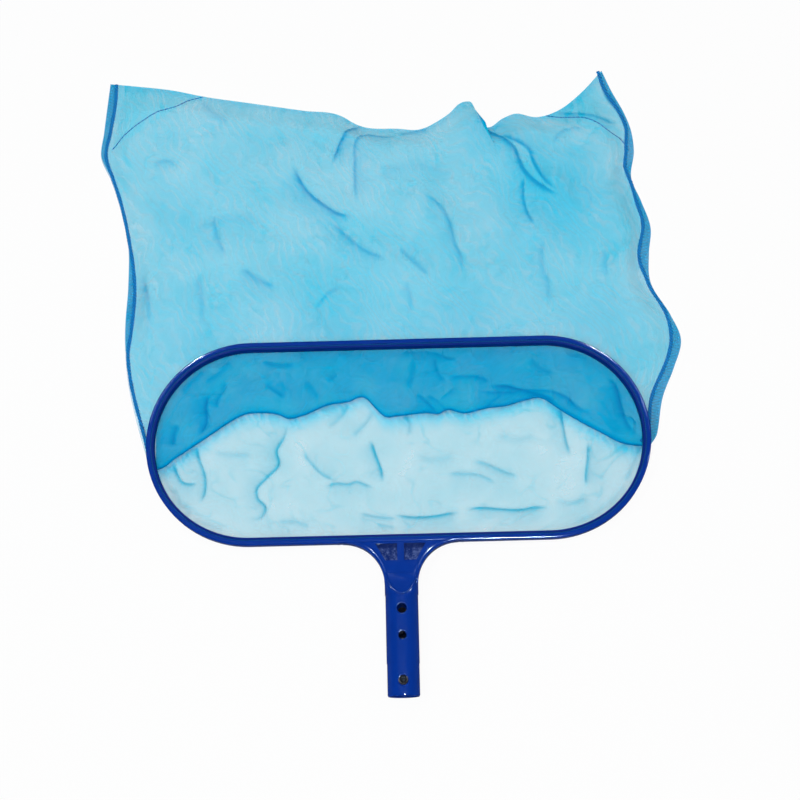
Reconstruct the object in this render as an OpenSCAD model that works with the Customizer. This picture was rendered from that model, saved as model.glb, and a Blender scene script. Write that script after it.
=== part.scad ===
// Leaf skimmer head: moulded mouth frame, mesh bag and spring clip, lying flat.
// Origin: on the stem's axis at the shoulder where a pole's end stops.
// +Y runs from the stem to the bag, +Z is up, the pole leaves towards -Y.

/* [Mouth frame] */
// Overall width of the mouth frame
rim_w = 447.5; // [380:1:520]
// Overall depth of the mouth frame, near bar to far bar
rim_d = 184.5; // [150:1:220]
// Height of the moulded rim
rim_h = 11; // [9:0.5:14]
// Width of the rim band seen from above
band_w = 6.9; // [6:0.1:10]
// Rounding of the rim's outer edges
edge_r = 2; // [1:0.1:2.5]

/* [Net fixing] */
// Thickness of the snap-in ring that traps the net
ring_t = 2; // [1.2:0.1:2.6]
// How far the snap-in ring's top lies below the rim's top
ring_recess = 0.9; // [0:0.1:2]
// Thickness of the hem tape in its groove
hem_t = 0.9; // [0.6:0.1:1.4]
// How far the hem hangs below the rim
hem_drop = 1; // [0.5:0.1:2]

/* [Throat] */
// Length of the throat, pole shoulder to rim
throat_len = 46; // [42:0.5:70]
// Radius of the two concave flares
flare_r = 36; // [28:0.5:40]
// Thickness of the throat's web
web_t = 9; // [6:0.1:10]
// Width of the bead along each flare
bead_w = 4; // [2:0.1:6]
// Length of the ramp from the stem's crown down to the web
ramp_len = 20; // [14:0.5:24]
// Length of the two blind pockets beside the central rib
pocket_len = 15; // [10:0.5:18]
// Width of the pockets at the rim
pocket_w = 19; // [12:0.5:22]
// Width of the central rib between the pockets
rib_w = 6; // [4:0.1:8]
// Thickness left at the bottom of the pockets
pocket_floor = 2.4; // [1.6:0.1:4]

/* [Stem] */
// Outside diameter of the stem where the pole grips it
stem_od = 28.4; // [26:0.1:31]
// Wall of the stem
stem_wall = 2.4; // [2:0.1:3]
// Length of the stem, shoulder to open end
stem_len = 87; // [80:1:120]
// Length of the slightly slimmer lead at the open end
lead_len = 28; // [24:1:32]
// How much slimmer the lead is, on the radius
lead_step = 0.3; // [0.25:0.05:0.5]
// Step of the shoulder over the stem, on the radius
shoulder_step = 0.4; // [0.3:0.1:1]
// Diameter of the two large cross holes
hole_d = 8.5; // [8:0.1:9.5]
// Diameter of the small cross hole
small_hole_d = 7; // [5:0.1:8]
// Clip hole, from the stem's open end
clip_hole_at = 13; // [11:0.5:16]
// Small hole, from the stem's open end
small_hole_at = 51; // [44:0.5:56]
// Bolt hole, from the stem's open end
bolt_hole_at = 74; // [70:0.5:76]

/* [Spring clip] */
// Thickness of the clip's spring strip
strip_t = 1; // [0.6:0.1:1.4]
// Width of the spring strip
strip_w = 9; // [7:0.5:10]
// Radius of the bend, to the middle of the strip
bend_r = 2.2; // [1.6:0.1:3]
// Distance from the bend's centre to the buttons
leg_reach = 45.5; // [42:0.5:48]
// Diameter of the buttons
button_d = 6.2; // [5.6:0.1:6.6]
// How far the buttons stand out of the stem
button_out = 3; // [2:0.1:3.2]
// Height of a button's domed top
dome_h = 1.6; // [1:0.1:2]

/* [Net bag] */
// Length of the bag, middle of the mouth to its far corners
bag_len = 360; // [280:1:420]
// Thickness of the net as modelled
net_t = 0.8; // [0.6:0.1:1]
// Width of the sewn side seams
seam_w = 6; // [4:0.5:8]
// How high the top layer billows beyond the frame
billow = 9; // [4:0.5:16]
// Width of the corner stitching
stitch_w = 1.4; // [1:0.1:2.5]

/* [Hidden] */
$fn = 96;

blue = [0.03, 0.16, 0.55];
deep_blue = [0.02, 0.12, 0.44];
net_blue = [0.45, 0.8, 0.9];
seam_blue = [0.1, 0.45, 0.72];
black = [0.06, 0.06, 0.07];
steel = [0.7, 0.71, 0.72];

eps = 0.01;
// Running gap between pieces that meet without being joined
gap = 0.15;

// Mouth
end_r = rim_d / 2;
mouth_y = throat_len + end_r;
straight = rim_w / 2 - end_r;
ring_in_r = end_r - band_w;
hem_r = ring_in_r + ring_t + hem_t / 2;
hem_half_w = straight + hem_r;
hem_bottom = -rim_h / 2 - hem_drop;
ring_top = rim_h / 2 - ring_recess;
ring_bottom = -rim_h / 2 + 0.5;

// Stem
stem_r = stem_od / 2;
bore_r = stem_r - stem_wall;
shoulder_r = stem_r + shoulder_step;
lip = 1.2;
bore_end = -1;
flare_y = throat_len - flare_r;

// Clip: the strip's pads lie against the bore, and the buttons sit on them
pad_top = sqrt(bore_r * bore_r - strip_w * strip_w / 4) - gap;
clip_hole_y = clip_hole_at - stem_len;
button_y = clip_hole_y + 0.5;
bend_y = button_y + leg_reach;
pad_half = 8.5;
button_top = stem_r + button_out;
dome_r = (pow(button_d / 2, 2) + dome_h * dome_h) / (2 * dome_h);

// Bag levels: the object rests on the net and on the lower button
rest_z = -button_top;
lower_z = rest_z + net_t / 2;
seam_h = 2.4;
edge_z = lower_z + net_t + 0.6;
hang_z = hem_bottom - net_t / 2 - gap / 2;
fold_r = 1.3;
fold_top = hang_z - 0.7;
return_z = fold_top - 2 * fold_r;

// Where the bag's side edge stands out from the hem line, along its length
left_side = [[0, 0], [0.13, 13.6], [0.31, 22.6], [0.57, 21.6], [0.73, 38.6], [0.79, 50.6], [1, 43.6]];
right_side = [[0, 7], [0.08, 11.6], [0.19, 26.6], [0.28, 31.6], [0.41, 11.6], [0.55, 16.6], [0.69, -0.4],
              [0.84, -0.4], [1, -26.4]];
// How the far fold of the bag dips between its two corners
far_edge = [[0, 0], [0.08, -5], [0.31, -25], [0.51, -46], [0.63, -54], [0.71, -30], [0.77, -54],
            [0.87, -47], [0.95, -28], [1, 0]];
// Main folds of the upper layer beyond the frame: both ends, as shares of hem_half_w across and of
// bag_len along from the mouth's middle, and height as a share of billow
main_folds = [[[-0.43, 0.745], [-0.155, 0.59], 0.42], [[-0.155, 0.59], [-0.02, 0.465], 0.35],
              [[-0.255, 0.735], [-0.12, 0.865], 0.35], [[0.365, 0.915], [0.505, 0.745], 0.45],
              [[0.505, 0.745], [0.73, 0.63], 0.42], [[0.195, 0.615], [0.28, 0.425], 0.36],
              [[-0.75, 0.545], [-0.505, 0.405], 0.32], [[0.635, 0.535], [0.65, 0.345], 0.32],
              [[-1.06, 0.415], [-1.02, 0.235], 0.35]];
// The slack fold inside the mouth: across, as a share of half the mouth, and along, as a share of hem_r
slack_fold = [[-1, -0.13], [-0.92, -0.09], [-0.65, 0.34], [-0.56, 0.36], [-0.43, 0.3], [-0.13, 0.5],
              [-0.05, 0.3], [0.13, 0.31], [0.6, 0.45], [0.7, 0.3], [0.92, -0.07], [1, -0.13]];

function clamp01(v) = min(1, max(0, v));
function smooth(v) = let (c = clamp01(v)) c * c * (3 - 2 * c);
function mix(a, b, k) = a + (b - a) * k;
function hermite(p0, p1, m0, m1, k) =
    p0 * (1 + 2 * k) * (1 - k) * (1 - k) + m0 * k * (1 - k) * (1 - k)
    + p1 * k * k * (3 - 2 * k) - m1 * k * k * (1 - k);
// Smooth curve through the points of a list, read at a place along it
function span_of(list, at) = max([0, for (i = [0:len(list) - 2]) if (list[i][0] <= at) i]);
function slope_at(list, i) =
    let (a = list[max(0, i - 1)], b = list[min(len(list) - 1, i + 1)]) (b[1] - a[1]) / (b[0] - a[0]);
function curve(list, at) =
    let (i = span_of(list, at), a = list[i], b = list[i + 1], w = b[0] - a[0])
    hermite(a[1], b[1], slope_at(list, i) * w, slope_at(list, i + 1) * w, (at - a[0]) / w);

// Half width of the hem line across the mouth at a height along Y
function hem_x(y) = straight + sqrt(max(0, hem_r * hem_r - pow(y - mouth_y, 2)));
// Far side of the hem line at a place across the mouth
function hem_far_y(x) = mouth_y + sqrt(hem_r * hem_r - pow(max(0, abs(x) - straight), 2));
// Side edge of the bag: side is -1 on the left and 1 on the right
function side_x(side, y) =
    let (f = clamp01((y - mouth_y) / bag_len))
    side * (hem_half_w + curve(side < 0 ? left_side : right_side, f));
function far_y(u) = mouth_y + bag_len + curve(far_edge, u);
// Places along the bag that both layers and the side seams share, so that their edges run together
bag_steps = 14;
function bag_y(k) = mouth_y + bag_len * k / bag_steps;
// Levels of the bag's two layers along its sides
function upper_edge_z(y) = mix(return_z, edge_z, smooth((y - mouth_y) / 30));
function seam_z(y) = mix(hem_bottom - seam_h / 2 - 0.3, rest_z + seam_h / 2, smooth((y - mouth_y) / 30));

// The lower layer: from the near half of the hem, down to rest, and out to the far fold
near_y = mouth_y - hem_r;
rise_run = 9;
function lower_rise(x, y) =
    let (d = abs(x) < straight ? y - near_y : hem_r - norm([abs(x) - straight, y - mouth_y]))
    y > mouth_y ? 0 : smooth(1 - d / rise_run) * smooth((mouth_y - 2 - y) / 28);
function lower_point(u, v) =
    let (ye = near_y + v * (mouth_y + bag_len - near_y),
         left = ye < mouth_y ? -hem_x(ye) : side_x(-1, ye),
         right = ye < mouth_y ? hem_x(ye) : side_x(1, ye),
         x = mix(left, right, u),
         y = near_y + v * (far_y(u) - near_y))
    [x, y, mix(lower_z, hang_z, lower_rise(x, y))];

// The upper layer: from the far half of the hem forward to the slack fold, back under, and out
inset = 5;
fold_spread = 15;
function fold_height(fold, x, y) =
    let (a = [fold[0][0] * hem_half_w, fold[0][1] * bag_len], b = [fold[1][0] * hem_half_w, fold[1][1] * bag_len],
         p = [x, y - mouth_y] - a, k = clamp01(p * (b - a) / ((b - a) * (b - a))))
    billow * fold[2] * exp(-pow(norm(p - k * (b - a)) / fold_spread, 2));
function fold_x(u) = (hem_half_w - inset) * (2 * u - 1);
function fold_y(u) = mouth_y + hem_r * curve(slack_fold, 2 * u - 1);
edge_y0 = fold_y(0) + fold_r;
function hang_point(u, a) =
    let (x = fold_x(u))
    [x, mix(hem_far_y(x), fold_y(u) + fold_r, a), mix(hang_z, fold_top, smooth(a))];
function turn_point(u, angle) =
    [fold_x(u), fold_y(u) + fold_r * (1 + cos(angle)), fold_top - fold_r + fold_r * sin(angle)];
function return_point(u, w) =
    let (y0 = fold_y(u) + fold_r,
         y = mix(y0, far_y(u), w),
         ye = mix(edge_y0, mouth_y + bag_len, w),
         tuck = inset * (1 - smooth((ye - mouth_y) / 30)),
         left = side_x(-1, ye) + tuck,
         right = side_x(1, ye) - tuck,
         x = mix(left, right, u),
         inward = min(x - left, right - x),
         out = smooth((y - mouth_y - end_r) / 50),
         wave = 0.75 + 0.25 * sin(504 * x / hem_half_w + 396 * y / bag_len),
         folds = max([for (fold = main_folds) fold_height(fold, x, y)]),
         top = return_z + out * (billow * wave + folds),
         level = mix(upper_edge_z(ye), top, smooth(inward / 25)))
    [x, y, mix(edge_z, level, smooth((1 - w) / 0.09))];

// A closed sheet of even thickness over a grid of points
function normal_at(g, i, j) =
    let (r = len(g) - 1, c = len(g[0]) - 1,
         du = g[i][min(c, j + 1)] - g[i][max(0, j - 1)],
         dv = g[min(r, i + 1)][j] - g[max(0, i - 1)][j],
         n = cross(du, dv))
    n / norm(n);
module sheet(g, t) {
    rows = len(g);
    cols = len(g[0]);
    n = rows * cols;
    face = [for (side = [-1, 1]) for (i = [0:rows - 1]) for (j = [0:cols - 1])
            g[i][j] + normal_at(g, i, j) * side * t / 2];
    quads = [for (i = [0:rows - 2]) for (j = [0:cols - 2])
             [i * cols + j, i * cols + j + 1, (i + 1) * cols + j + 1, (i + 1) * cols + j]];
    under = [for (q = quads) for (f = [[q[0], q[1], q[2]], [q[0], q[2], q[3]]]) f];
    over = [for (f = under) [n + f[2], n + f[1], n + f[0]]];
    loop = concat([for (j = [0:cols - 1]) j],
                  [for (i = [1:rows - 1]) i * cols + cols - 1],
                  [for (j = [1:cols - 1]) rows * cols - 1 - j],
                  [for (i = [1:rows - 2]) (rows - 1 - i) * cols]);
    m = len(loop);
    rim = [for (k = [0:m - 1])
           let (a = loop[k], b = loop[(k + 1) % m])
           for (f = [[a, n + a, n + b], [a, n + b, b]]) f];
    polyhedron(face, concat(under, over, rim), convexity = 8);
}
// A strip of rectangular section along a list of places, each with its across and up directions
module strip(path, across, up, w, h) {
    m = len(path);
    points = [for (k = [0:m - 1]) for (c = [[-1, -1], [1, -1], [1, 1], [-1, 1]])
              path[k] + across[k] * c[0] * w / 2 + up[k] * c[1] * h / 2];
    walls = [for (k = [0:m - 2]) for (c = [0:3])
             let (a = 4 * k + c, b = 4 * k + (c + 1) % 4)
             for (f = [[a, a + 4, b + 4], [a, b + 4, b]]) f];
    caps = [[0, 1, 2], [0, 2, 3], [4 * m - 1, 4 * m - 2, 4 * m - 3], [4 * m - 1, 4 * m - 3, 4 * m - 4]];
    polyhedron(points, concat(walls, caps), convexity = 6);
}

// Sweeps a section round the mouth: its X is measured out from the ring's inner face
module round_mouth() {
    for (side = [0, 1])
        translate([0, mouth_y, 0]) rotate(180 * side) {
            translate([straight, 0, 0]) rotate(-90)
                rotate_extrude(angle = 180) translate([ring_in_r, 0]) children();
            translate([straight, 0, 0]) rotate([90, 0, -90])
                linear_extrude(2 * straight) mirror([1, 0]) translate([ring_in_r, 0]) children();
        }
}
module rim_section() {
    inner = ring_t + hem_t;
    r = min(edge_r, (band_w - inner) / 2 - 0.2);
    translate([inner, -rim_h / 2]) square([band_w - r - inner, rim_h]);
    translate([inner, -rim_h / 2 + r]) square([band_w - inner, rim_h - 2 * r]);
    for (z = [-1, 1]) translate([band_w - r, z * (rim_h / 2 - r)]) circle(r);
}
module throat_outline() {
    difference() {
        translate([-shoulder_r - flare_r, flare_y]) square([2 * (shoulder_r + flare_r), flare_r + band_w / 2]);
        for (side = [-1, 1]) translate([side * (shoulder_r + flare_r), flare_y]) circle(flare_r);
    }
}
module throat_beads() {
    intersection() {
        throat_outline();
        for (side = [-1, 1]) translate([side * (shoulder_r + flare_r), flare_y]) circle(flare_r + bead_w);
        translate([-shoulder_r - flare_r, flare_y]) square([2 * (shoulder_r + flare_r), flare_r]);
    }
}
module pocket_outline() {
    top = throat_len - 1;
    polygon([[rib_w / 2, top], [rib_w / 2 + pocket_w, top],
             [rib_w / 2 + pocket_w * 0.55, top - pocket_len], [rib_w / 2, top - pocket_len]]);
}
// The round end of the stem inside the throat, planed off by a ramp above and below
module shoulder() {
    intersection() {
        rotate([-90, 0, 0]) cylinder(h = ramp_len + 4, r = shoulder_r);
        rotate([90, 0, 90]) translate([0, 0, -shoulder_r]) linear_extrude(2 * shoulder_r)
            polygon([[0, shoulder_r], [0, -shoulder_r], [ramp_len, -web_t / 2], [ramp_len + 4, -web_t / 2],
                     [ramp_len + 4, web_t / 2], [ramp_len, web_t / 2]]);
    }
}
module stem_body() {
    rotate([90, 0, 0]) rotate_extrude()
        polygon([[0, -1], [stem_r, -1], [stem_r, stem_len - lead_len],
                 [stem_r - lead_step, stem_len - lead_len], [stem_r - lead_step, stem_len - lip],
                 [stem_r - lead_step - lip / 2, stem_len], [0, stem_len]]);
}
module frame() {
    color(blue) difference() {
        union() {
            round_mouth() rim_section();
            translate([0, 0, -web_t / 2]) linear_extrude(web_t) throat_outline();
            translate([0, 0, -rim_h / 2]) linear_extrude(rim_h) throat_beads();
            shoulder();
            stem_body();
        }
        translate([0, bore_end, 0]) rotate([90, 0, 0]) cylinder(h = stem_len + 2, r = bore_r);
        for (side = [-1, 1]) for (face = [0, 1])
            mirror([side < 0 ? 1 : 0, 0, 0]) mirror([0, 0, face])
                translate([0, 0, pocket_floor / 2]) linear_extrude(rim_h) pocket_outline();
        for (at = [clip_hole_at, bolt_hole_at])
            translate([0, at - stem_len, -stem_r - 1]) cylinder(h = 2 * stem_r + 2, d = hole_d);
        translate([0, small_hole_at - stem_len, -stem_r - 1]) cylinder(h = 2 * stem_r + 2, d = small_hole_d);
    }
}
module retaining_ring() {
    color(deep_blue) round_mouth() translate([0, ring_bottom]) square([ring_t, ring_top - ring_bottom]);
}
module mouth_hem() {
    color(seam_blue) round_mouth()
        translate([ring_t, hem_bottom]) square([hem_t, ring_top - 0.4 - hem_bottom]);
}

// Rows of the lower layer: close together where it leaves the hem, then to the mouth's middle, then the bag
hem_rows = 4;
hem_row_step = 3.4;
mouth_rows = 3;
function lower_y(i) =
    i <= hem_rows ? near_y + hem_row_step * i
    : i <= hem_rows + mouth_rows ? mix(near_y + hem_row_step * hem_rows, mouth_y, (i - hem_rows) / mouth_rows)
    : bag_y(i - hem_rows - mouth_rows);
function spread(k) = 0.5 - 0.5 * cos(180 * k);
module net_lower_panel() {
    cols = 26;
    rows = hem_rows + mouth_rows + bag_steps;
    color(net_blue)
        sheet([for (i = [0:rows]) let (v = (lower_y(i) - near_y) / (mouth_y + bag_len - near_y))
               [for (j = [0:cols]) lower_point(spread(j / cols), v)]], net_t);
}
// Rows of the upper layer beyond the slack fold, and a place on its flat faces, by column and row
upper_cols = 24;
function upper_row(i) = i == 0 ? 0 : (bag_y(i - 1) - edge_y0) / (mouth_y + bag_len - edge_y0);
function upper_node(i, j) = return_point(spread(j / upper_cols), upper_row(i));
function upper_face(col, row) =
    let (j = min(upper_cols - 1, floor(col)), i = min(bag_steps, floor(row)), a = col - j, b = row - i,
         near = upper_node(i, j), far = upper_node(i + 1, j + 1))
    a >= b ? near + a * (upper_node(i, j + 1) - near) + b * (far - upper_node(i, j + 1))
           : near + b * (upper_node(i + 1, j) - near) + a * (far - upper_node(i + 1, j));
module net_upper_panel() {
    across = [for (j = [0:upper_cols]) spread(j / upper_cols)];
    hang = [for (a = [0, 0.3, 0.65, 1]) [for (u = across) hang_point(u, a)]];
    turn = [for (angle = [126:36:234]) [for (u = across) turn_point(u, angle)]];
    out = [for (i = [0:bag_steps + 1]) [for (j = [0:upper_cols]) upper_node(i, j)]];
    color(net_blue) sheet(concat(hang, turn, out), net_t);
}
module side_seam(side) {
    reach = 2 * gap + seam_w / 2;
    path = [for (k = [0:bag_steps]) [side_x(side, bag_y(k)) + side * reach, bag_y(k), seam_z(bag_y(k))]];
    color(seam_blue) strip(path, [for (p = path) [1, 0, 0]], [for (p = path) [0, 0, 1]], seam_w, seam_h);
}
// Stitching across a far corner, laid on the upper layer's faces; columns and rows are counted from
// the nearer side seam and from the far fold
module corner_stitch(cols_from, cols_to, rows_from, rows_to, left) {
    steps = 24;
    thread_h = 0.5;
    lift = net_t / 2 + thread_h / 2 + 0.3 * stitch_w + gap;
    path = [for (k = [0:steps])
            let (col = mix(cols_from, cols_to, k / steps))
            upper_face(left ? col : upper_cols - col, bag_steps + 1 - mix(rows_from, rows_to, k / steps))];
    away = [for (k = [0:steps]) let (d = path[min(steps, k + 1)] - path[max(0, k - 1)])
            [-d[1], d[0], 0] / norm([d[0], d[1]])];
    color(seam_blue) strip([for (p = path) p + [0, 0, lift]], left ? away : -away,
                           [for (p = path) [0, 0, 1]], stitch_w, thread_h);
}

module clip_bend() {
    color(steel) translate([strip_w / 2, bend_y, 0]) rotate([0, -90, 0])
        linear_extrude(strip_w) intersection() {
            difference() {
                circle(bend_r + strip_t / 2);
                circle(bend_r - strip_t / 2);
            }
            translate([-2 * bend_r, 0]) square([4 * bend_r, 2 * bend_r]);
        }
}
module clip_leg(up) {
    root = bend_y - gap;
    knee = button_y + pad_half + 3;
    tip = button_y - pad_half;
    color(steel) translate([-strip_w / 2, 0, 0]) rotate([90, 0, 90]) linear_extrude(strip_w)
        polygon([for (p = [[root, bend_r + strip_t / 2], [root, bend_r - strip_t / 2],
                           [knee, pad_top - strip_t], [tip, pad_top - strip_t],
                           [tip, pad_top], [knee, pad_top]]) [p[0], up * p[1]]]);
}
module clip_button(up) {
    color(black) translate([0, button_y, 0]) mirror([0, 0, up < 0 ? 1 : 0]) {
        translate([0, 0, pad_top]) cylinder(h = button_top - dome_h - pad_top, d = button_d);
        intersection() {
            translate([0, 0, button_top - dome_r]) sphere(dome_r);
            translate([0, 0, button_top - dome_h - eps]) cylinder(h = dome_h + 1, d = button_d);
        }
    }
}

frame();
retaining_ring();
mouth_hem();
net_lower_panel();
net_upper_panel();
side_seam(-1);  // side_seam_left
side_seam(1);  // side_seam_right
corner_stitch(7, 2, 0.3, 3, true);  // corner_stitch_left
corner_stitch(5, 1.5, 0.4, 3, false);  // corner_stitch_right
clip_bend();
clip_leg(1);  // clip_upper_leg
clip_leg(-1);  // clip_lower_leg
clip_button(1);  // clip_upper_button
clip_button(-1);  // clip_lower_button
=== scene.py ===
import logging
import math
from collections.abc import Callable
from dataclasses import dataclass, field
from enum import Enum

import bpy
import numpy as np
from mathutils import Matrix, Vector


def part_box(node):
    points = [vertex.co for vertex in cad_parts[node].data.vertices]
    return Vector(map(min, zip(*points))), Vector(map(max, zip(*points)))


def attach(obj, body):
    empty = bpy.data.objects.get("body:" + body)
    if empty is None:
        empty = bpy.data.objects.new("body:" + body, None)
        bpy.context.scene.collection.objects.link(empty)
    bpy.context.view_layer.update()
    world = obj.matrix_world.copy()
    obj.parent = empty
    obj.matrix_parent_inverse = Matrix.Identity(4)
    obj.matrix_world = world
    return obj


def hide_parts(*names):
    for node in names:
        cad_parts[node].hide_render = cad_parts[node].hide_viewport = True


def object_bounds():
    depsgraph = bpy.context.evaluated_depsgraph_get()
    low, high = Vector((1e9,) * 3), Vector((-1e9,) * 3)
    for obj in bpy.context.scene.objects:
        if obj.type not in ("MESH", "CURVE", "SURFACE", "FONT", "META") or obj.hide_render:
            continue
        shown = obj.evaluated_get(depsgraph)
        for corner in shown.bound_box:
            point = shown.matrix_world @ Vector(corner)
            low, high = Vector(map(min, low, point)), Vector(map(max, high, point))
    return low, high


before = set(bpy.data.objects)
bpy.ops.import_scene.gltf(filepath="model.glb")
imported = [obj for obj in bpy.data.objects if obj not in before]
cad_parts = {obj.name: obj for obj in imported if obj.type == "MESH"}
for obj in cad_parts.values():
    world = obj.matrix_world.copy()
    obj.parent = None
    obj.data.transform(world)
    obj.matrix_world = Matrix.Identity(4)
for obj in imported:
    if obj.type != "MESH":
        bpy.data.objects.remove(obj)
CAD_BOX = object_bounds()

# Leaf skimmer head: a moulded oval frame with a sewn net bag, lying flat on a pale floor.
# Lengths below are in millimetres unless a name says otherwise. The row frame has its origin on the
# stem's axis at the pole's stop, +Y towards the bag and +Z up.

log = logging.getLogger("leaf_skimmer")

MM = 0.001
HEAD = "head"
WHICH = {-1: "left", 1: "right"}
FAR = 1000.0  # mm, farther than any fold reaches

Array = np.ndarray
Piece = bpy.types.Object
Material = bpy.types.Material
Socket = bpy.types.NodeSocket
Colour = tuple[float, float, float, float]
Points = tuple[tuple[float, float], ...]
Placed = tuple[Array, dict[str, Array | float]]
Shape = Callable[[Array, Array], Placed]


# ---- helpers


def smooth_step(value: Array) -> Array:
    """Eases values from 0 to 1, and holds them outside that range."""
    held = np.clip(value, 0.0, 1.0)
    return held * held * (3.0 - 2.0 * held)


def ease(value: Array, start: float, end: float) -> Array:
    """Goes smoothly from 0 to 1 as a value goes from start to end, in either direction."""
    return smooth_step((value - start) / (end - start))


def mix(low: Array, high: Array, share: Array) -> Array:
    """The value that lies share of the way from low to high."""
    return low + (high - low) * share


def flowing(points: Points, at: Array) -> Array:
    """Reads a smooth curve through points at places along its first coordinate.

    Args:
        points: (place, value) pairs in rising order of place.
        at: the places to read.

    Returns:
        The values there.
    """
    place, value = np.array(points, dtype=float).T
    slope = np.gradient(value, place)
    span = np.clip(np.searchsorted(place, at, side="right") - 1, 0, len(place) - 2)
    width = place[span + 1] - place[span]
    k = np.clip((at - place[span]) / width, 0.0, 1.0)
    return (
        value[span] * (1 + 2 * k) * (1 - k) ** 2
        + slope[span] * width * k * (1 - k) ** 2
        + value[span + 1] * k * k * (3 - 2 * k)
        - slope[span + 1] * width * k * k * (1 - k)
    )


def run_along(line: Array) -> Array:
    """Distance along a line to each of its points, which are rows."""
    return np.concatenate([[0.0], np.cumsum(np.hypot.reduce(np.diff(line, axis=0), axis=1))])


def bell(across: Array, along: Array, wide: float, long: float) -> Array:
    """1 in the middle of a round or oval patch, falling smoothly to 0 beyond wide and long."""
    return np.exp(-((across / wide) ** 2 + (along / long) ** 2))


def through(points: Points, per_span: int = 8) -> Array:
    """A smooth line through points in the plane, as an array of (x, y) rows."""
    knots = np.array(points, dtype=float)
    run = run_along(knots)
    at = np.linspace(0.0, run[-1], per_span * (len(knots) - 1) + 1)
    return np.stack([flowing(tuple(zip(run, knots[:, axis])), at) for axis in (0, 1)], axis=1)


class Unevenness:
    """Smooth random unevenness over a plane, the same on every run."""

    def __init__(self, seed: int, cells: int = 96) -> None:
        """Draws the lattice of heights, from -1 to 1."""
        self.lattice = np.random.default_rng(seed).uniform(-1.0, 1.0, (cells, cells))
        self.cells = cells
        self.shift = (0.37 * cells, 0.41 * cells)

    def at(self, x: Array, y: Array, scale: float) -> Array:
        """Height at places in the plane, for bumps about scale apart."""
        gx, gy = x / scale + self.shift[0], y / scale + self.shift[1]
        ix, iy = np.floor(gx).astype(int), np.floor(gy).astype(int)
        fx, fy = smooth_step(gx - ix), smooth_step(gy - iy)
        ix, iy = ix % self.cells, iy % self.cells
        jx, jy = (ix + 1) % self.cells, (iy + 1) % self.cells
        low = mix(self.lattice[iy, ix], self.lattice[iy, jx], fx)
        high = mix(self.lattice[jy, ix], self.lattice[jy, jx], fx)
        return mix(low, high, fy)

    def creased(self, x: Array, y: Array, scale: float) -> Array:
        """Unevenness with soft ridges in it, from 0 in the hollows to 1 on the ridges."""
        return (1.0 - np.abs(self.at(x, y, scale))) ** 3


def deselect() -> None:
    """Leaves nothing selected, so that an operator acts only on what comes next."""
    if bpy.context.object and bpy.context.object.mode != "OBJECT":
        bpy.ops.object.mode_set(mode="OBJECT")
    bpy.ops.object.select_all(action="DESELECT")


def take(piece: Piece) -> None:
    """Makes a piece the only selected object, and the active one."""
    deselect()
    piece.select_set(True)
    bpy.context.view_layer.objects.active = piece


def select_faces(piece: Piece, chosen: Array) -> None:
    """Selects the faces marked in chosen, with nothing else selected, and enters edit mode."""
    take(piece)
    mesh = piece.data
    mesh.vertices.foreach_set("select", np.zeros(len(mesh.vertices), dtype=bool))
    mesh.edges.foreach_set("select", np.zeros(len(mesh.edges), dtype=bool))
    mesh.polygons.foreach_set("select", chosen.astype(bool))
    bpy.ops.object.mode_set(mode="EDIT")
    bpy.ops.mesh.select_mode(type="FACE")


def corners_of(piece: Piece) -> Array:
    """The piece's vertex positions, as rows of x, y and z."""
    flat = np.empty(len(piece.data.vertices) * 3)
    piece.data.vertices.foreach_get("co", flat)
    return flat.reshape(-1, 3)


def whole(items: bpy.types.bpy_prop_collection, name: str) -> Array:
    """One whole number of each item of a mesh, such as the corner that a loop starts from."""
    found = np.empty(len(items), dtype=int)
    items.foreach_get(name, found)
    return found


def set_corners(piece: Piece, places: Array) -> None:
    """Moves the piece's vertices to places, in metres."""
    piece.data.vertices.foreach_set("co", np.ascontiguousarray(places).ravel())
    piece.data.update()


def apply_all(piece: Piece) -> None:
    """Applies every modifier on the piece, in order."""
    take(piece)
    for modifier in list(piece.modifiers):
        bpy.ops.object.modifier_apply(modifier=modifier.name)


def flat_grid(name: str, across: int, along: int) -> Piece:
    """A flat grid from (0, 0) to (1, 1), to be shaped into a sheet or rolled into a bead."""
    deselect()
    bpy.ops.mesh.primitive_grid_add(
        x_subdivisions=across, y_subdivisions=along, size=1.0, location=(0.5, 0.5, 0.0)
    )
    piece = bpy.context.object
    piece.name = piece.data.name = name
    bpy.ops.object.transform_apply(location=True, rotation=True, scale=True)
    return piece


def rolled(name: str, rings: Array, closed: bool = False) -> Piece:
    """A bead or rope rolled up from a flat grid, one ring of the grid at each place along it.

    Args:
        name: the piece's name.
        rings: positions in mm, as (places along, corners round, 3).
        closed: whether the far end meets the near end.

    Returns:
        The piece, with its ends closed.
    """
    if closed:
        rings = np.concatenate([rings, rings[:1]])
    rings = np.concatenate([rings, rings[:, :1]], axis=1)
    along, around = rings.shape[0] - 1, rings.shape[1] - 1
    piece = flat_grid(name, around, along)
    spot = corners_of(piece)
    row = np.rint(spot[:, 1] * along).astype(int)
    column = np.rint(spot[:, 0] * around).astype(int)
    set_corners(piece, rings[row, column] * MM)
    take(piece)
    bpy.ops.object.mode_set(mode="EDIT")
    bpy.ops.mesh.select_all(action="SELECT")
    bpy.ops.mesh.remove_doubles(threshold=0.00001)
    if not closed:
        bpy.ops.mesh.select_mode(type="EDGE")
        bpy.ops.mesh.select_all(action="DESELECT")
        bpy.ops.mesh.select_non_manifold()
        bpy.ops.mesh.edge_face_add()
        bpy.ops.mesh.select_all(action="SELECT")
    bpy.ops.mesh.normals_make_consistent(inside=False)
    bpy.ops.object.mode_set(mode="OBJECT")
    bpy.ops.object.shade_smooth_by_angle(angle=math.radians(50))
    return piece


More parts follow.
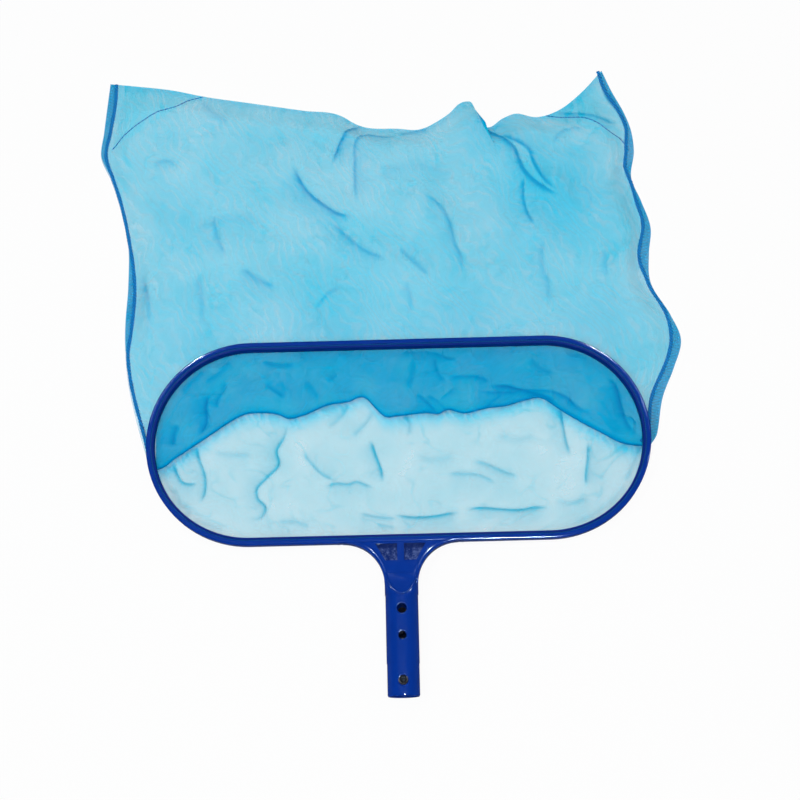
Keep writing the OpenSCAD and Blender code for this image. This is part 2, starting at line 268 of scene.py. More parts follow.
def rings_along(path: Array, section: Array, up: Array | None = None) -> Array:
    """Sections set square to a path.

    Args:
        path: (n, 3) points of the path.
        section: (k, 2) or (n, k, 2) section points, across the path and up from it.
        up: (n, 3) or (3,) upward direction; straight up if none is given.

    Returns:
        (n, k, 3) ring positions.
    """
    ahead = np.gradient(path, axis=0)
    ahead /= np.linalg.norm(ahead, axis=1, keepdims=True)
    upward = np.broadcast_to(np.array([0.0, 0.0, 1.0]) if up is None else up, path.shape)
    across = np.cross(ahead, upward)
    across /= np.linalg.norm(across, axis=1, keepdims=True)
    lift = np.cross(across, ahead)
    shape = np.broadcast_to(section, (len(path),) + section.shape[-2:])
    return path[:, None] + shape[..., :1] * across[:, None] + shape[..., 1:] * lift[:, None]


def oval(width: float, height: float, corners: int = 12, flat: float = 1.0) -> Array:
    """A rounded section of a given width and height, flattened below where flat is under 1."""
    turn = np.linspace(0.0, 2 * np.pi, corners, endpoint=False)
    lift = np.sin(turn) * height / 2
    return np.stack([np.cos(turn) * width / 2, np.where(lift < 0, lift * flat, lift)], axis=1)


# ---- materials


class Graph:
    """A small helper that adds nodes to a material or a node group and links them."""

    def __init__(self, tree: bpy.types.NodeTree) -> None:
        """Works on one node tree."""
        self.tree = tree

    @classmethod
    def on(cls, owner: Material | bpy.types.World) -> "Graph":
        """Starts on the emptied node tree of a new material or world."""
        owner.use_nodes = True
        owner.node_tree.nodes.clear()
        return cls(owner.node_tree)

    def put(self, value: object, socket: Socket) -> None:
        """Links an output to an input socket, or sets that input to a plain value."""
        if isinstance(value, Socket):
            self.tree.links.new(value, socket)
        else:
            socket.default_value = value

    def add(self, kind: str, inputs: dict | None = None, **settings: object) -> bpy.types.Node:
        """Adds a node, sets its properties, and sets or links its inputs.

        Args:
            kind: the node's type name, without ShaderNode in front.
            inputs: values or output sockets, by input name or number.
            settings: the node's own properties.

        Returns:
            The new node.
        """
        node = self.tree.nodes.new(kind if kind.startswith("Node") else f"ShaderNode{kind}")
        for name, value in settings.items():
            setattr(node, name, value)
        for name, value in (inputs or {}).items():
            self.put(value, node.inputs[name])
        return node

    def math(self, operation: str, *values: object, clamp: bool = False) -> Socket:
        """The result of a Math node on the given values or sockets."""
        return self.add("Math", dict(enumerate(values)), operation=operation, use_clamp=clamp).outputs[0]

    def blend(self, share: object, first: object, second: object) -> Socket:
        """A colour that goes from first to second with share."""
        return self.add("Mix", {0: share, 6: first, 7: second}, data_type="RGBA").outputs[2]

    def remap(self, value: Socket, *span: float) -> Socket:
        """Maps a value from span[0]..span[1] to span[2]..span[3], held at the ends."""
        return self.add("MapRange", dict(enumerate((value, *span)))).outputs[0]

    def noise(
        self, where: Socket, scale: object, detail: float, roughness: float = 0.5, distortion: float = 0.0
    ) -> Socket:
        """Smooth noise around 0.5."""
        inputs = {"Scale": scale, "Detail": detail, "Roughness": roughness, "Distortion": distortion}
        return self.add("TexNoise", {"Vector": where} | inputs).outputs[0]

    def axes(self, where: Socket) -> list[Socket]:
        """The X, Y and Z of a place."""
        return list(self.add("SeparateXYZ", {0: where}).outputs)

    def here(self) -> Socket:
        """The piece's own coordinates, in metres."""
        return self.add("TexCoord").outputs["Object"]

    def own(self, name: str) -> Socket:
        """One of the values that the piece carries at its corners."""
        return self.add("Attribute", attribute_name=name).outputs["Fac"]

    def effect(self, tree: bpy.types.NodeTree, where: Socket) -> list[Socket]:
        """What a shared effect gives at a place."""
        return list(self.add("Group", {0: where}, node_tree=tree).outputs)

    def bump(self, height: Socket, strength: float, distance: float) -> Socket:
        """A normal pushed about by a height."""
        return self.add("Bump", {"Height": height, "Strength": strength, "Distance": distance}).outputs[0]


Fill = Callable[[Graph, Socket], tuple[Socket, ...]]


class Effects:
    """Surface effects that several finishes share, each a node group that is built once."""

    def __init__(self) -> None:
        """Builds the groups."""
        self.weave = self._group("net_weave", self._weave, "Thread")
        self.watered = self._group("watered_pattern", self._watered, "Pattern")
        self.wrinkles = self._group("faint_wrinkles", self._wrinkles, "Wrinkle")
        self.handling = self._group("moulding_surface", self._handling, "Cloud", "Scuff", "Grain")

    @staticmethod
    def _group(name: str, fill: Fill, *outputs: str) -> bpy.types.NodeTree:
        """Makes one node group.

        Args:
            name: the group's name.
            fill: adds the nodes, given the graph and the place, and returns what comes out.
            outputs: the names of the numbers that come out.

        Returns:
            The group.
        """
        tree = bpy.data.node_groups.new(name, "ShaderNodeTree")
        tree.interface.new_socket("Vector", in_out="INPUT", socket_type="NodeSocketVector")
        for label in outputs:
            tree.interface.new_socket(label, in_out="OUTPUT", socket_type="NodeSocketFloat")
        g = Graph(tree)
        made = fill(g, g.add("NodeGroupInput").outputs[0])
        g.add("NodeGroupOutput", dict(enumerate(made)))
        return tree

    @staticmethod
    def _weave(g: Graph, where: Socket, pitch: float = 1.0, stray: float = 0.15) -> tuple[Socket, ...]:
        """Crossing threads on a UV map in millimetres: how far a place is on a thread."""
        shift = g.math("MULTIPLY", g.math("SUBTRACT", g.noise(where, scale=0.09, detail=2.0), 0.5), stray)
        waves = []
        for axis in g.axes(where)[:2]:
            turn = g.math("ADD", g.math("DIVIDE", axis, pitch), shift)
            wave = g.math("SINE", g.math("MULTIPLY", turn, 2 * math.pi))
            waves.append(g.remap(wave, 0.1, 0.8, 0.0, 1.0))
        return (g.math("MAXIMUM", *waves),)

    @staticmethod
    def _watered(
        g: Graph, where: Socket, size: float = 34.0, swirl: float = 30.0, spacing: float = 5.6
    ) -> tuple[Socket, ...]:
        """The watered pattern that two layers of fine net make together, from 0 to 1."""
        x, y, _ = g.axes(where)
        turned = g.math("ADD", g.math("MULTIPLY", x, 0.62), g.math("MULTIPLY", y, 0.3))
        drift = g.math("MULTIPLY", g.noise(where, 1 / size, detail=3.0, roughness=0.45), swirl)
        phase = g.math("DIVIDE", g.math("ADD", turned, drift), spacing)
        line = g.remap(g.math("SINE", g.math("MULTIPLY", phase, 2 * math.pi)), -0.1, 1.0, 0.0, 1.0)
        strength = g.remap(g.noise(where, scale=0.045, detail=1.0), 0.35, 0.65, 0.35, 1.0)
        return (g.math("MULTIPLY", line, strength),)

    @staticmethod
    def _wrinkles(g: Graph, where: Socket, size: float = 34.0) -> tuple[Socket, ...]:
        """Faint wandering wrinkles of thin cloth, from 0 to 1, on a UV map in millimetres."""
        wander = g.noise(where, 1 / size, detail=2.0, distortion=0.6)
        away = g.math("ABSOLUTE", g.math("SUBTRACT", wander, 0.5))
        strength = g.remap(g.noise(where, scale=0.031, detail=1.0), 0.42, 0.62, 0.0, 1.0)
        return (g.math("MULTIPLY", g.remap(away, 0.0, 0.035, 1.0, 0.0), strength),)

    @staticmethod
    def _handling(g: Graph, where: Socket) -> tuple[Socket, ...]:
        """Cloudiness, faint scuffs and fine grain of a moulded surface, on its own coordinates."""
        drawn = g.add("Mapping", {"Vector": where, "Scale": (1.0, 6.0, 3.0), "Rotation": (0.0, 0.0, 0.5)})
        scuff = g.noise(drawn.outputs[0], scale=140.0, detail=6.0, roughness=0.7)
        cloud = g.noise(where, scale=60.0, detail=3.0)
        return cloud, g.remap(scuff, 0.55, 0.75, 0.0, 1.0), g.noise(where, scale=1600.0, detail=2.0)


def toned(colour: Colour, share: float) -> Colour:
    """A colour made darker or lighter by a share."""
    return tuple(min(1.0, part * share) for part in colour[:3]) + (1.0,)


@dataclass(frozen=True)
class Finish:
    """What every finish has: a name, the colour it starts from and how rough it is."""

    name: str
    colour: Colour
    roughness: float

    def shade(self, g: Graph, effects: Effects) -> dict[str, object]:
        """The shader inputs that this finish sets, as values or sockets by name."""
        return {}

    def make(self, effects: Effects) -> Material:
        """Builds the material round its Principled shader."""
        material = bpy.data.materials.new(self.name)
        g = Graph.on(material)
        inputs = {"Base Color": self.colour, "Roughness": self.roughness} | self.shade(g, effects)
        shader = g.add("BsdfPrincipled", inputs)
        g.add("OutputMaterial", {"Surface": shader.outputs[0]})
        material.diffuse_color = self.colour
        return material


@dataclass(frozen=True)
class Moulded(Finish):
    """Glossy moulded plastic with faint clouds, scuffs and fine grain.

    pockets holds the half height and the near and far Y of the throat's pockets, in mm.
    """

    cloud: float = 0.12
    grain: float = 0.02
    shine: float = 0.5
    reflected: Colour = (0.55, 0.75, 1.0, 1.0)
    pockets: tuple[float, ...] = ()
    pocket_dark: Colour = (0.003, 0.02, 0.15, 1.0)
    pocket_pale: Colour = (0.10, 0.15, 0.38, 1.0)
    # The painted shadow under the pockets' far wall
    pocket_shadow: Colour = (0.001, 0.012, 0.11, 1.0)

    def _inside_pockets(self, g: Graph, where: Socket) -> Socket:
        """1 on the floors of the throat's pockets, and 0 elsewhere."""
        half, near, far = (v * MM for v in self.pockets)
        x, y, z = g.axes(where)
        level = g.remap(g.math("ABSOLUTE", z), half, half + 0.0006, 1.0, 0.0)
        offset = g.math("ABSOLUTE", g.math("SUBTRACT", y, (near + far) / 2))
        span = g.remap(offset, (far - near) / 2, (far - near) / 2 + 0.0005, 1.0, 0.0)
        across = g.remap(g.math("ABSOLUTE", x), 0.0025, 0.0031, 0.0, 1.0)
        outer = g.remap(g.math("ABSOLUTE", x), 0.0225, 0.0235, 1.0, 0.0)
        return g.math("MULTIPLY", g.math("MULTIPLY", level, span), g.math("MULTIPLY", across, outer))

    def _floors(self, g: Graph, where: Socket) -> Socket:
        """The rough pocket floors' colour: speckled, with a painted shadow under the far wall."""
        speck = g.noise(where, scale=420.0, detail=4.0, roughness=0.75)
        matt = g.blend(g.remap(speck, 0.45, 0.66, 0.0, 1.0), self.pocket_dark, self.pocket_pale)
        far = self.pockets[2] * MM
        # Painted shadow: darker towards the far wall
        shadow = g.remap(g.axes(where)[1], far - 0.0045, far - 0.003, 0.0, 0.8)
        return g.blend(shadow, matt, self.pocket_shadow)

    def shade(self, g: Graph, effects: Effects) -> dict[str, object]:
        """Clouds in the colour, scuffs in the gloss and grain in the normal."""
        where = g.here()
        cloud, scuff, grain = g.effect(effects.handling, where)
        tone = g.blend(cloud, toned(self.colour, 1 - self.cloud), toned(self.colour, 1 + self.cloud))
        if self.pockets:
            tone = g.blend(self._inside_pockets(g, where), tone, self._floors(g, where))
        return {
            "Base Color": tone,
            "Roughness": g.math("MULTIPLY_ADD", scuff, 0.12, self.roughness),
            "Normal": g.bump(grain, self.grain, distance=0.0004),
            "Specular IOR Level": self.shine,
            "Specular Tint": self.reflected,
        }


@dataclass(frozen=True)
class Netting(Finish):
    """Fine see-through net: woven threads, deeper where the cloth gathers and along its folds, where the
    darkening is partly doubled cloth and partly painted shade.
    """

    layered: Colour = (0.0, 0.70, 0.97, 1.0)
    gathered: Colour = (0.0, 0.41, 0.73, 1.0)
    # The fold colours darken the cloth along its folds: partly doubled cloth, partly painted shade beside
    # them
    folded: Colour = (0.0, 0.45, 0.68, 1.0)
    layered_fold: Colour = (0.0, 0.33, 0.66, 1.0)
    gathered_fold: Colour = (0.0, 0.21, 0.54, 1.0)
    cover: float = 0.52
    gathered_cover: float = 0.87
    folded_cover: float = 0.42
    thinned: float = 0.2
    doubled: float = 0.415
    watered: float = 0.14
    patchy: float = 0.32
    wrinkles: float = 0.12
    threads: float = 0.07

    def shade(self, g: Graph, effects: Effects) -> dict[str, object]:
        """Colour and cover, on a UV map in millimetres and the piece's own attributes."""
        cut = g.add("UVMap", uv_map="cut").outputs[0]
        gather, crease_and_shade, thin, double = map(g.own, ("gather", "crease_and_shade", "thin", "double"))
        thread = g.effect(effects.weave, cut)[0]
        pattern = g.effect(effects.watered, cut)[0]
        wrinkle = g.effect(effects.wrinkles, cut)[0]
        tone = g.blend(gather, g.blend(double, self.colour, self.layered), self.gathered)
        fold = g.blend(gather, g.blend(double, self.folded, self.layered_fold), self.gathered_fold)
        patch = g.noise(cut, scale=0.018, detail=4.0, roughness=0.55)
        cover = g.remap(gather, 0.0, 1.0, self.cover, self.gathered_cover)
        for value, amount in (
            (crease_and_shade, self.folded_cover),
            (thin, -self.thinned),
            (g.math("MULTIPLY", double, g.math("SUBTRACT", 1.0, gather, clamp=True)), self.doubled),
            (g.math("MULTIPLY", pattern, double), -self.watered),
            (g.math("SUBTRACT", patch, 0.5), self.patchy),
            (wrinkle, self.wrinkles),
            (g.math("SUBTRACT", thread, 0.6), self.threads),
        ):
            cover = g.math("MULTIPLY_ADD", value, amount, cover)
        # Along the folds the colour deepens and the cover rises: doubled cloth with painted shade
        return {
            "Base Color": g.blend(g.math("MULTIPLY", crease_and_shade, 0.95, clamp=True), tone, fold),
            "Alpha": g.math("MINIMUM", g.math("MAXIMUM", cover, 0.2), 0.97),
            "Normal": g.bump(thread, strength=0.15, distance=0.0003),
            "Specular IOR Level": 0.0,
        }


@dataclass(frozen=True)
class Stitched(Finish):
    """Sewing thread laid close, with painted shade in the gaps between the turns."""

    pitch: float = 0.0014
    # gap is the painted shade between the turns, as a share of the thread's colour
    gap: float = 0.55

    def shade(self, g: Graph, effects: Effects) -> dict[str, object]:
        """Slanting turns of thread."""
        scale = 0.05 / self.pitch * 6.28
        inputs = {"Scale": scale, "Distortion": 2.0, "Detail": 2.0, "Detail Scale": 3.0}
        turns = g.add("TexWave", {"Vector": g.here()} | inputs, bands_direction="DIAGONAL").outputs["Fac"]
        # Painted shade: the colour falls to the gap share between the turns
        return {
            "Base Color": g.blend(turns, toned(self.colour, self.gap), self.colour),
            "Normal": g.bump(turns, strength=0.4, distance=0.0004),
            "Specular IOR Level": 0.03,
        }


@dataclass(frozen=True)
class SpringSteel(Finish):
    """Rolled spring steel, drawn lengthways."""

    def shade(self, g: Graph, effects: Effects) -> dict[str, object]:
        """Fine lines along the strip."""
        drawn = g.add("Mapping", {"Vector": g.here(), "Scale": (1.0, 0.03, 1.0)})
        lines = g.noise(drawn.outputs[0], scale=2600.0, detail=3.0)
        return {
            "Base Color": g.blend(lines, toned(self.colour, 0.8), self.colour),
            "Roughness": g.remap(lines, 0.3, 0.7, 0.22, 0.42),
            "Metallic": 1.0,
        }


class Palette:
    """Every finish of the skimmer head, as materials."""

    def __init__(self) -> None:
        """Builds all the materials."""
        effects = Effects()
        pockets = (1.3, 30.0, 45.0)
        self.frame = Moulded("frame_plastic", (0.001, 0.035, 0.31, 1.0), 0.11, pockets=pockets).make(effects)
        # Painted shade: the ring is the frame's plastic made darker, as it sits in the rim's channel
        self.ring = Moulded("ring_plastic", (0.001, 0.02, 0.21, 1.0), 0.4, shine=0.03).make(effects)
        self.net = Netting("net_mesh", (0.0, 0.54, 0.73, 1.0), 0.8).make(effects)
        self.seam = Stitched("seam_thread", (0.006, 0.24, 0.66, 1.0), 0.75).make(effects)
        self.overlock = Stitched("overlock_thread", (0.0, 0.56, 0.95, 1.0), 0.75, gap=0.9).make(effects)
        self.tape = Stitched("hem_tape", (0.004, 0.10, 0.36, 1.0), 0.8, pitch=0.001).make(effects)
        self.steel = SpringSteel("spring_steel", (0.13, 0.135, 0.15, 1.0), 0.35).make(effects)
        dark = (0.012, 0.014, 0.02, 1.0)
        self.button = Moulded("button_plastic", dark, 0.4, cloud=0.2, shine=0.08).make(effects)


def dress(piece: Piece, material: Material) -> None:
    """Gives a piece one material all over."""
    piece.data.materials.clear()
    piece.data.materials.append(material)


def fit(piece: Piece, material: Material, node: str = "") -> None:
    """Finishes a piece that moves with the head.

    Args:
        piece: the piece.
        material: its material.
        node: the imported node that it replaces, if any.
    """
    dress(piece, material)
    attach(piece, HEAD)
    if node:
        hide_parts(node)
    log.info("%s: %d faces", piece.name, len(piece.data.polygons))


# ---- net cloth

FADE = 0.22  # share of a fold's length over which each of its ends fades out


@dataclass(frozen=True)
class Mouth:
    """The oval mouth as packed, in mm: its middle, its straight and round parts and its hem."""

    straight: float
    centre_y: float
    hem_r: float
    hem_bottom: float
    rim_r: float

    @classmethod
    def from_frame(cls) -> "Mouth":
        """Reads the mouth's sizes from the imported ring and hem."""
        ring_low, ring_high = (np.array(corner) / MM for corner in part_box("retaining_ring"))
        hem_low, hem_high = (np.array(corner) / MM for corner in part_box("mouth_hem"))
        frame_high = np.array(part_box("frame")[1]) / MM
        half_w, half_d = (ring_high - ring_low)[:2] / 2
        hem_t = (hem_high - hem_low)[1] / 2 - half_d
        return cls(
            straight=float(half_w - half_d),
            centre_y=float(ring_high[1] + ring_low[1]) / 2,
            hem_r=float(half_d + hem_t / 2),
            hem_bottom=float(hem_low[2]),
            rim_r=float(frame_high[1] - (ring_high[1] + ring_low[1]) / 2),
        )

    @property
    def half_w(self) -> float:
        """Half the hem line's width."""
        return self.straight + self.hem_r

    def edge_x(self, y: Array) -> Array:
        """Half width of the hem line at a place along Y."""
        return self.straight + np.sqrt(np.maximum(0.0, self.hem_r**2 - (y - self.centre_y) ** 2))

    def far_y(self, x: Array) -> Array:
        """Far side of the hem line at a place across the mouth."""
        return self.centre_y + np.sqrt(self.hem_r**2 - np.maximum(0.0, np.abs(x) - self.straight) ** 2)

    def inside(self, x: Array, along: Array) -> Array:
        """How far places are inside the hem line, from their X and their distance from its middle."""
        return self.hem_r - np.hypot(np.maximum(0.0, np.abs(x) - self.straight), along)

    def round(self, radius: float, step: float = 2.0) -> Array:
        """A closed oval path at a radius from the end centres, as rows of x and y."""
        turns = max(24, int(math.pi * radius / step))
        runs = max(8, int(2 * self.straight / step))
        bend = np.linspace(-np.pi / 2, np.pi / 2, turns, endpoint=False)
        right = np.stack([self.straight + radius * np.cos(bend), radius * np.sin(bend)], axis=1)
        across = np.linspace(self.straight, -self.straight, runs, endpoint=False)
        half = np.concatenate([right, np.stack([across, np.full(runs, radius)], axis=1)])
        return np.concatenate([half, -half]) + np.array([0.0, self.centre_y])


@dataclass(frozen=True)
class Crease:
    """One fold in the cloth. Its path is in mm from the mouth's middle, across and along."""

    path: Points
    shade: float = 0.6
    height: float = 1.6
    width: float = 1.5
    lean: float = 1.0

    def read(self, x: Array, y: Array) -> tuple[Array, Array, Array]:
        """How a fold lies to places in the plane.

        Args:
            x: places across, from the mouth's middle.
            y: places along, from the mouth's middle.

        Returns:
            The signed distance from the fold, its strength there from 0 at its ends to 1, and the
            direction across it, as rows.
        """
        line = through(self.path)
        reach = 9.0 * self.width + 12.0
        low, high = line.min(axis=0) - reach, line.max(axis=0) + reach
        near = np.nonzero((x > low[0]) & (x < high[0]) & (y > low[1]) & (y < high[1]))[0]
        away = np.full(x.shape, FAR)
        strength = np.zeros(x.shape)
        across = np.zeros(x.shape + (2,))
        if not len(near):
            return away, strength, across
        place = np.stack([x[near], y[near]], axis=1)
        best = np.full(len(near), np.inf)
        run = run_along(line)
        for start, end, at, span in zip(line[:-1], line[1:], run[:-1], np.diff(run)):
            step = (end - start) / span
            offset = place - start
            share = np.clip(offset @ step, 0.0, span)
            gap = offset - share[:, None] * step
            distance = np.hypot(gap[:, 0], gap[:, 1])
            closer = distance < best
            best[closer] = distance[closer]
            side = np.sign(step[0] * offset[:, 1] - step[1] * offset[:, 0])
            ends = (at + share) / run[-1]
            away[near[closer]] = (side * distance)[closer]
            strength[near[closer]] = (smooth_step(ends / FADE) * smooth_step((1 - ends) / FADE))[closer]
            across[near[closer]] = (-step[1], step[0])
        return away, strength, across


@dataclass
class Relief:
    """What the folds do to places on the cloth: lift and shift in mm, and a darkening from 0 to 1 that is
    partly doubled cloth and partly painted shade.
    """

    lift: Array
    shift: Array
    crease_and_shade: Array

    @classmethod
    def of(cls, x: Array, y: Array, creases: tuple[Crease, ...], where: Array) -> "Relief":
        """Adds up the folds at places in the plane, where the mask where is above 0."""
        found = cls(np.zeros(x.shape), np.zeros(x.shape + (2,)), np.zeros(x.shape))
        for fold in creases:
            away, strength, across = fold.read(x, y)
            strength = strength * where
            steep = away * fold.lean > 0
            ridge = np.exp(-((away / np.where(steep, fold.width * 1.3, fold.width * 4.5)) ** 2)) * strength
            core = np.exp(-((np.abs(away) / fold.width) ** 1.6)) * strength
            # Painted shade: a broad darker band on each fold's gentle side, added to the doubled cloth of its
            # core
            soft = np.exp(-((away / np.where(steep, fold.width * 2.0, fold.width * 8.0)) ** 2)) * strength
            found.lift += 0.42 * fold.height * ridge
            found.shift += across * (fold.lean * fold.width * 0.8 * core * fold.shade)[:, None]
            found.crease_and_shade = np.maximum(found.crease_and_shade, fold.shade * (0.85 * core + 0.33 * soft))
        return found


GROUND_FOLDS = (
    Crease(((-182, 5), (-180, -8), (-174, -27), (-174, -39), (-179, -52)), 0.8, 2.2),
    Crease(((-203, -12), (-199, -23), (-194, -31), (-187, -33), (-178, -31)), 0.8, 2.0),
    Crease(
        ((-99, 24), (-103, 9), (-110, -4), (-108, -16), (-119, -28), (-128, -39), (-127, -47), (-120, -56),
         (-123, -63), (-137, -65)), 0.85, 2.4,
    ),
    Crease(((-87, -4), (-77, -17), (-67, -27), (-55, -33)), 0.6, 1.6, lean=-1.0),
    Crease(((-68, -39), (-55, -36), (-45, -37), (-38, -35), (-30, -38), (-21, -40)), 0.65, 1.6),
    Crease(((-26, 5), (-21, -12), (-17, -24), (-15, -36)), 0.95, 2.2),
    Crease(((-22, 31), (-29, 20), (-36, 13), (-43, 6)), 0.4, 1.2, 2.0),
    Crease(((-44, 39), (-49, 30), (-58, 21), (-65, 17)), 0.35, 1.2, 2.0),
    Crease(((-168, -3), (-151, -7), (-130, -8)), 0.3, 1.4, 3.0),
    Crease(((-188, -66), (-171, -71), (-155, -77)), 0.3, 1.2, 3.0),
    Crease(((-111, -69), (-95, -69), (-78, -75)), 0.35, 1.0, 2.0),
    Crease(((-38, -63), (-20, -67), (-1, -69)), 0.5, 1.2, 1.8),
    Crease(((-23, -73), (-3, -77)), 0.4, 1.0, 1.8),
    Crease(((145, 30), (147, 12), (149, -2), (153, -17)), 0.75, 2.0),
    Crease(((170, -1), (169, -20), (167, -31), (166, -45)), 0.8, 2.0, lean=-1.0),
    Crease(((64, -17), (78, -22), (93, -29), (108, -34)), 0.55, 1.8, 2.0),
    Crease(((40, -29), (57, -30), (69, -31), (79, -35), (88, -41)), 0.5, 1.6, 2.0),
    Crease(((55, -61), (73, -61), (91, -63), (108, -64), (119, -62), (135, -62)), 0.85, 2.0),
    Crease(((-8, -65), (10, -68), (25, -68), (41, -66), (55, -63)), 0.85, 2.0),
    Crease(((5, 27), (10, 16), (8, 6)), 0.35, 1.2, 2.0),
    Crease(((200, -42), (208, -28), (213, -16), (215, -5)), 0.55, 1.6, 2.2),
    Crease(((150, -78), (169, -72), (183, -64), (195, -52), (205, -37)), 0.35, 1.6, 3.4),
    Crease(((136, -56), (153, -58), (170, -54)), 0.3, 1.2, 2.4),
    Crease(((-205, -30), (-197, -48), (-184, -62)), 0.35, 1.2, 3.4),
    Crease(((85, 6), (104, 0), (126, 4)), 0.22, 1.4, 3.4),
    Crease(((12, -8), (30, -16), (52, -12)), 0.2, 1.4, 3.4),
)
HANG_FOLDS = (
    Crease(((-176, 58), (-164, 64), (-157, 70), (-148, 81)), 0.4, 1.2, 2.2),
    Crease(((-170, 50), (-173, 36), (-172, 25), (-174, 18), (-181, 11)), 0.75, 1.6, 1.7),
    Crease(((-153, 61), (-157, 52), (-162, 43), (-165, 34)), 0.5, 1.2),
    Crease(((-197, 22), (-201, 12), (-202, 0)), 0.6, 1.4, 2.0),
    Crease(((-120, 58), (-107, 48), (-99, 43)), 0.5, 1.2, lean=-1.0),
    Crease(((-124, 77), (-105, 73), (-89, 73)), 0.5, 1.2, 1.8),
    Crease(((-54, 65), (-63, 57)), 0.4, 1.0),
    Crease(((-2, 83), (17, 82), (34, 81), (43, 76), (58, 74)), 0.55, 1.2, 1.8),
    Crease(((34, 80), (35, 66), (43, 52)), 0.45, 1.2, 1.8),
    Crease(((44, 57), (60, 58), (72, 57), (86, 52)), 0.55, 1.2, 1.8),
    Crease(((80, 48), (99, 47), (112, 43), (131, 39), (147, 29)), 0.8, 1.8, 1.8),
    Crease(((66, 47), (81, 43), (99, 42), (112, 43), (133, 43), (150, 37), (162, 26), (178, 20)), 0.6, 1.4),
    Crease(((16, 44), (25, 36), (37, 24)), 0.5, 1.2),
    Crease(((38, 36), (53, 48)), 0.4, 1.0),
    Crease(((26, 42), (40, 32), (44, 26)), 0.4, 1.0),
    Crease(((97, 43), (86, 36), (78, 28)), 0.45, 1.0),
    Crease(((15, 79), (13, 61), (8, 48)), 0.4, 1.2, 2.2),
    Crease(((189, 58), (196, 40), (199, 24), (205, 8), (214, -1)), 0.75, 1.8, 2.0),
    Crease(((203, 17), (217, 10)), 0.5, 1.0),
    Crease(((148, 82), (169, 75), (186, 66), (201, 51)), 0.45, 1.4, 3.2),
    Crease(((-196, 50), (-184, 62), (-170, 72)), 0.35, 1.4, 3.6),
    Crease(((-140, 84), (-60, 85), (20, 84), (100, 85), (150, 82)), 0.35, 0.6, 3.4),
    Crease(((-84, 60), (-76, 48), (-70, 40)), 0.35, 1.2, 2.4),
    Crease(((118, 76), (128, 64), (142, 58)), 0.35, 1.2, 2.4),
)
BAG_FOLDS = (
    Crease(((-55, 264), (-47, 285), (-39, 300), (-26, 311)), 0.75, 1.9, 2.0),
    Crease(((-33, 222), (-34, 250), (-34, 269), (-32, 288), (-24, 296), (-8, 294), (12, 296)), 0.6, 1.5, 1.8),
    Crease(((-94, 268), (-81, 240), (-66, 226), (-52, 216), (-34, 212)), 0.8, 2.1, 2.0),
    Crease(((-60, 214), (-43, 193), (-27, 180), (-4, 168)), 0.5, 1.9, 2.2),
    Crease(((-166, 221), (-163, 197), (-154, 176)), 0.45, 1.5, 2.0),
    Crease(((-142, 166), (-126, 153), (-106, 143)), 0.45, 1.5, 2.8),
    Crease(((-224, 271), (-209, 274), (-201, 269)), 0.35, 1.1, 2.2),
    Crease(((-236, 168), (-226, 139), (-224, 102), (-217, 76)), 0.5, 1.5, 2.6),
    Crease(((-182, 164), (-177, 137), (-177, 108)), 0.35, 1.4, 2.8),
    Crease(((-74, 122), (-63, 137), (-48, 147)), 0.35, 1.3, 2.2),
    Crease(((-181, 341), (-169, 322), (-150, 308)), 0.3, 1.1, 2.8),
    Crease(((79, 330), (84, 306), (99, 291), (112, 277), (121, 254), (132, 241), (162, 222)), 0.8, 2.2, 2.1),
    Crease(((94, 296), (110, 288), (127, 277), (133, 259), (142, 243), (156, 230)), 0.7, 1.6, 1.9, -1.0),
    Crease(((121, 252), (120, 226), (125, 208), (133, 198)), 0.65, 1.7, 1.9),
    Crease(((23, 238), (42, 221), (50, 206), (55, 183), (60, 170), (61, 148)), 0.5, 1.6, 2.0),
    Crease(((2, 184), (19, 167), (34, 152)), 0.45, 1.4, 2.0, -1.0),
    Crease(((150, 276), (156, 289), (166, 294), (183, 295)), 0.35, 1.2, 2.0),
    Crease(((154, 318), (176, 312), (193, 307), (216, 303)), 0.5, 1.2, 2.0),
    Crease(((4, 297), (22, 301), (38, 306)), 0.35, 1.0, 2.0),
    Crease(((175, 240), (184, 219)), 0.3, 1.1, 2.4),
    Crease(((192, 176), (192, 146)), 0.3, 1.1, 2.4),
    Crease(((8, 150), (14, 132), (11, 117)), 0.35, 1.2, 2.4),
    Crease(((207, 101), (208, 71)), 0.3, 1.2, 2.6),
    Crease(((138, 192), (134, 168), (138, 145), (141, 120)), 0.35, 1.4, 2.8),
    Crease(((-120, 96), (-60, 98), (0, 97), (60, 98)), 0.3, 0.9, 6.0),
    Crease(((-190, 200), (-150, 214), (-118, 206)), 0.18, 1.3, 5.0),
    Crease(((-20, 250), (20, 262), (60, 250)), 0.15, 1.4, 5.0),
)

# Where the bag's two layers look deeper (above 0) or paler: middle, from the mouth's middle, size and amount
DEEPER = (
    (150, 230, 62, 0.9), (95, 285, 30, 0.6), (-60, 120, 60, 0.5), (60, 112, 55, 0.5), (-190, 110, 40, 0.4),
    (-20, 165, 40, 0.3), (-150, 265, 60, 0.1), (10, 240, 45, 0.1), (215, 140, 34, -0.4),
    (-235, 215, 30, -0.4), (200, 185, 55, 0.35), (185, 110, 40, 0.5), (-185, 215, 45, 0.3),
)
# Where the upper layer lets more light through: middle, size across and along, and amount
PALER = ((62, 318, 22, 16, 0.6), (-232, 225, 16, 42, 0.8), (205, 210, 12, 50, 0.6))
# Layers of crumples in the cloth: height, spacing and shift across and along
GROUND_CRUMPLES = ((1.3, 21.0, 0, 0), (0.5, 9.0, 90, -40))
HANG_CRUMPLES = ((1.2, 14.0, 0, 0),)
BAG_CRUMPLES = ((1.2, 27.0, 0, 0), (0.8, 13.0, -60, 20))
